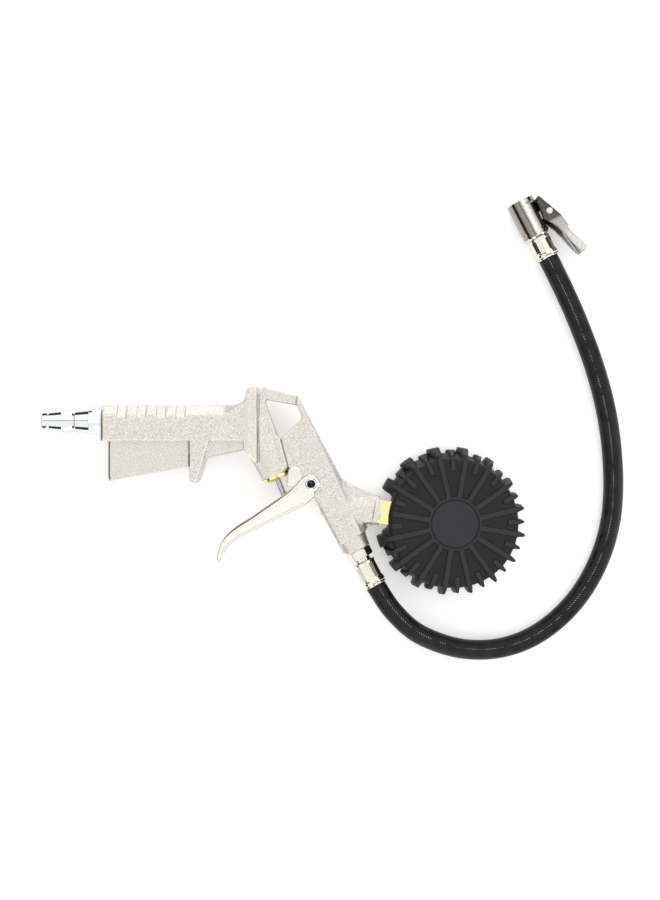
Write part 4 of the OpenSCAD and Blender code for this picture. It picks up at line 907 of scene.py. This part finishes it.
def painted_band_plate(name, seat, axis, low, high, stops, roughness):
    """Plate whose colour changes over a distance in painted bands of reflection and shade, with darker
    blotches at random.
    """
    made, tree, shader = finish(name, stops[0][1], roughness, 1.0)
    ramp = add(tree, "ShaderNodeValToRGB", {"Fac": spread(tree, across(tree, seat, axis), low, high)})
    while len(ramp.color_ramp.elements) < len(stops):
        ramp.color_ramp.elements.new(0.5)
    for element, (place, colour) in zip(ramp.color_ramp.elements, stops):
        element.position, element.color = place, hex_colour(colour)
    cloud = noise(tree, 1.6, 3.0)
    tint = add(tree, "ShaderNodeMixRGB", {"Fac": spread(tree, cloud.outputs["Fac"], 0.35, 0.7, 0.0, 0.35),
                                          "Color1": ramp.outputs["Color"], "Color2": hex_colour("8a857e")})
    tree.links.new(tint.outputs["Color"], shader.inputs["Base Color"])
    bump(tree, shader, noise(tree, 3.0, 1.0).outputs["Fac"], 0.01, 0.5)
    return made


# painted reflections: light and dark bands across the chuck stand for the panels and the dim room that a
# polished cylinder reflects
chuck_plate = painted_band_plate("nickel_with_painted_reflection_bands", chuck, chuck.y, -10, 10, [
    (0.0, "d6d3cd"), (0.12, "8c8780"), (0.3, "736e67"), (0.42, "cdc9c1"), (0.5, "f3f0ea"), (0.58, "a29d95"),
    (0.75, "736e67"),
    (0.92, "a6a29b")], 0.15)
# painted reflection: the lever's cheeks, beyond about 20 mm along the chuck, are painted dark grey as flat
# polished sheet reflecting the dim room; the thumb tab stays light
satin = painted_band_plate("nickel_sheet_with_painted_dark_reflection", chuck, chuck.x, 0, 36, [
    (0.0, "d2d1ce"), (0.2, "cfcdc9"), (0.3, "b3b0ac"), (0.5, "a5a29e"), (0.55, "454341"), (1.0, "3a3836")],
    0.24)

# %% [markdown]
# The boot is moulded rubber. Its raised faces are painted a lighter grey, a painted sheen, and its
# panels are painted darker, a painted shade. The hose is rubber cured in a cloth wrap, whose weave is left in
# its skin as short bars across the hose with a thread's slant.

# %% Rubber finishes
boot_rubber, tree, shader = finish("moulded_rubber", "303031", 0.55, Specular_IOR_Level=0.3)
height = add(tree, "ShaderNodeSeparateXYZ",
    {"Vector": add(tree, "ShaderNodeTexCoord").outputs["Object"]}).outputs["Z"]
# painted sheen and shade: the raised faces get the lighter tones, the recessed panels the darker ones
raised = spread(tree, height, 0.0282, 0.0287)
speck = noise(tree, 0.35, 2.0)
patch = noise(tree, 14.0, 3.0)
panel_shade_tones = blend_colours(tree, patch.outputs["Fac"], "111112", "1a1a1b")
raised_sheen_tones = blend_colours(tree, patch.outputs["Fac"], "222224", "2e2e31")
skin = add(tree, "ShaderNodeMixRGB", {"Fac": raised, "Color1": panel_shade_tones.outputs["Color"],
    "Color2": raised_sheen_tones.outputs["Color"]})
tree.links.new(skin.outputs["Color"], shader.inputs["Base Color"])
tree.links.new(spread(tree, patch.outputs["Fac"], 0.3, 0.7, 0.48, 0.66), shader.inputs["Roughness"])
bump(tree, shader, speck.outputs["Fac"], 0.04, 0.5)
boot.data.materials.append(boot_rubber)

THREAD, BAR = 1.6, math.pi * 2 * HOSE_RADIUS / 8
hose_rubber, tree, shader = finish("cloth_wrapped_hose_rubber", "1f1f20", 0.33, Specular_IOR_Level=0.22)
wrap = add(tree, "ShaderNodeSeparateXYZ", {"Vector": add(tree, "ShaderNodeUVMap",
    uv_map="hose_millimetres").outputs["UV"]})
slant = add(tree, "ShaderNodeMath", {0: wrap.outputs["X"], 1: 0.9}, operation="MULTIPLY")
lengthwise = add(tree, "ShaderNodeMath", {0: wrap.outputs["Y"], 1: slant.outputs[0]}, operation="ADD")
bars = add(tree, "ShaderNodeMath", {0: add(tree, "ShaderNodeMath", {0: lengthwise.outputs[0],
    1: 2 * math.pi / THREAD},
                                           operation="MULTIPLY").outputs[0]}, operation="SINE")
rows = add(tree, "ShaderNodeMath", {0: add(tree, "ShaderNodeMath", {0: wrap.outputs["X"],
    1: 2 * math.pi / BAR},
                                           operation="MULTIPLY").outputs[0]}, operation="SINE")
weave = add(tree, "ShaderNodeMath", {0: bars.outputs[0], 1: spread(tree, rows.outputs[0], -0.4, 0.6)},
    operation="MULTIPLY")
weave_height = spread(tree, weave.outputs[0], -1, 1)
uneven = noise(tree, 5.0, 2.0)
print_depth = spread(tree, uneven.outputs["Fac"], 0.35, 0.6, 0.25, 1.0)
pressed = add(tree, "ShaderNodeMath", {0: weave_height, 1: print_depth}, operation="MULTIPLY")
cloth = blend_colours(tree, pressed.outputs[0], "08080a", "242427")
# painted glint: a row of light grey dots on the hose's crown, where the cloth's imprint catches the light
glint_dot_pattern = add(tree, "ShaderNodeMath", {0: spread(tree, rows.outputs[0], 0.86, 0.97),
    1: spread(tree, bars.outputs[0], 0.0, 0.7)},
             operation="MULTIPLY")
round_angle = add(tree, "ShaderNodeMath", {0: wrap.outputs["X"], 1: HOSE_RADIUS}, operation="DIVIDE")
crown = add(tree, "ShaderNodeMath", {0: add(tree, "ShaderNodeMath", {0: round_angle.outputs[0]},
    operation="SINE").outputs[0]},
            operation="ABSOLUTE")
crown_glint_row = add(tree, "ShaderNodeMath", {0: glint_dot_pattern.outputs[0], 1: spread(tree, crown.outputs[0], 0.88,
    0.93)}, operation="MULTIPLY")
uneven_crown_glint = add(tree, "ShaderNodeMath", {0: crown_glint_row.outputs[0], 1: spread(tree, uneven.outputs["Fac"],
    0.36, 0.56)},
                  operation="MULTIPLY")
cloth_with_painted_glint = add(tree, "ShaderNodeMixRGB", {"Fac": uneven_crown_glint.outputs[0], "Color1": cloth.outputs["Color"],
    "Color2": hex_colour("8c8c90")})
tree.links.new(cloth_with_painted_glint.outputs["Color"], shader.inputs["Base Color"])
tree.links.new(spread(tree, uneven.outputs["Fac"], 0.3, 0.7, 0.30, 0.46), shader.inputs["Roughness"])
bump(tree, shader, pressed.outputs[0], 0.16, 0.8)
hose.data.materials.append(hose_rubber)

seal_rubber, tree, shader = finish("seal_rubber", "1b1b1c", 0.5)
bump(tree, shader, noise(tree, 0.4).outputs["Fac"], 0.03, 0.4)

# %% [markdown]
# The gauge's other pieces: a case and pointer in satin paint, a white enamelled dial and flat glass.

# %% Paint and glass
case_paint, tree, shader = finish("satin_black_paint", "26272a", 0.35)
bump(tree, shader, noise(tree, 0.5).outputs["Fac"], 0.02, 0.4)
dial_paint, tree, shader = finish("white_dial_enamel", "efefe9", 0.3)
bump(tree, shader, noise(tree, 0.8).outputs["Fac"], 0.01, 0.3)
pointer_paint, tree, shader = finish("red_pointer_paint", "b3201c", 0.4)
bump(tree, shader, noise(tree, 0.5).outputs["Fac"], 0.01, 0.3)
lens_glass, tree, shader = finish("flat_glass", "ffffff", 0.02, Transmission_Weight=1.0, IOR=1.52)
bump(tree, shader, noise(tree, 20.0).outputs["Fac"], 0.002, 0.2)

# painted shade: the rivet is painted near black below 9.6 mm from the trigger's middle, down its bore
rivet_plate = painted_band_plate("chromed_rivet_with_painted_bore_shade", trigger_seat, (0, 0, 1), 9.6, 10.8, [
    (0.0, "161515"), (0.5, "3a3838"), (0.75, "e4e6e8")], 0.1)

FINISH_OF_SLOT = {
    "cast_body": blasted, "steel_plug": chrome, "washer_rubber": seal_rubber, "turned_brass": brass,
    "steel_small": steel,
    "spring_steel": spring_steel, "cream_trigger": trigger_plate, "nickel_fitting": nickel,
    "chuck_nickel": chuck_plate,
    "lever_plate": satin, "hose_cover": hose_rubber, "movement_brass": rolled_brass,
    "pointer_paint": pointer_paint,
    "dial_paint": dial_paint, "case_paint": case_paint, "lens_glass": lens_glass, "boot_rubber": boot_rubber}
rivet.data.materials.append(rivet_plate)
for piece in (plug, fork_lug, nut, gun_ferrule, chuck_ferrule, cone, trigger, lever_piece, dial_marks):
    piece.data.materials.append(FINISH_OF_SLOT[piece["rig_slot"]])
for entry in frame["record"]["subparts"]:
    node = frame["nodes"][entry["node"]]
    node.data.materials.clear()
    node.data.materials.append(FINISH_OF_SLOT[entry["material_slot"]])
print("finishes:", len(FINISH_OF_SLOT))
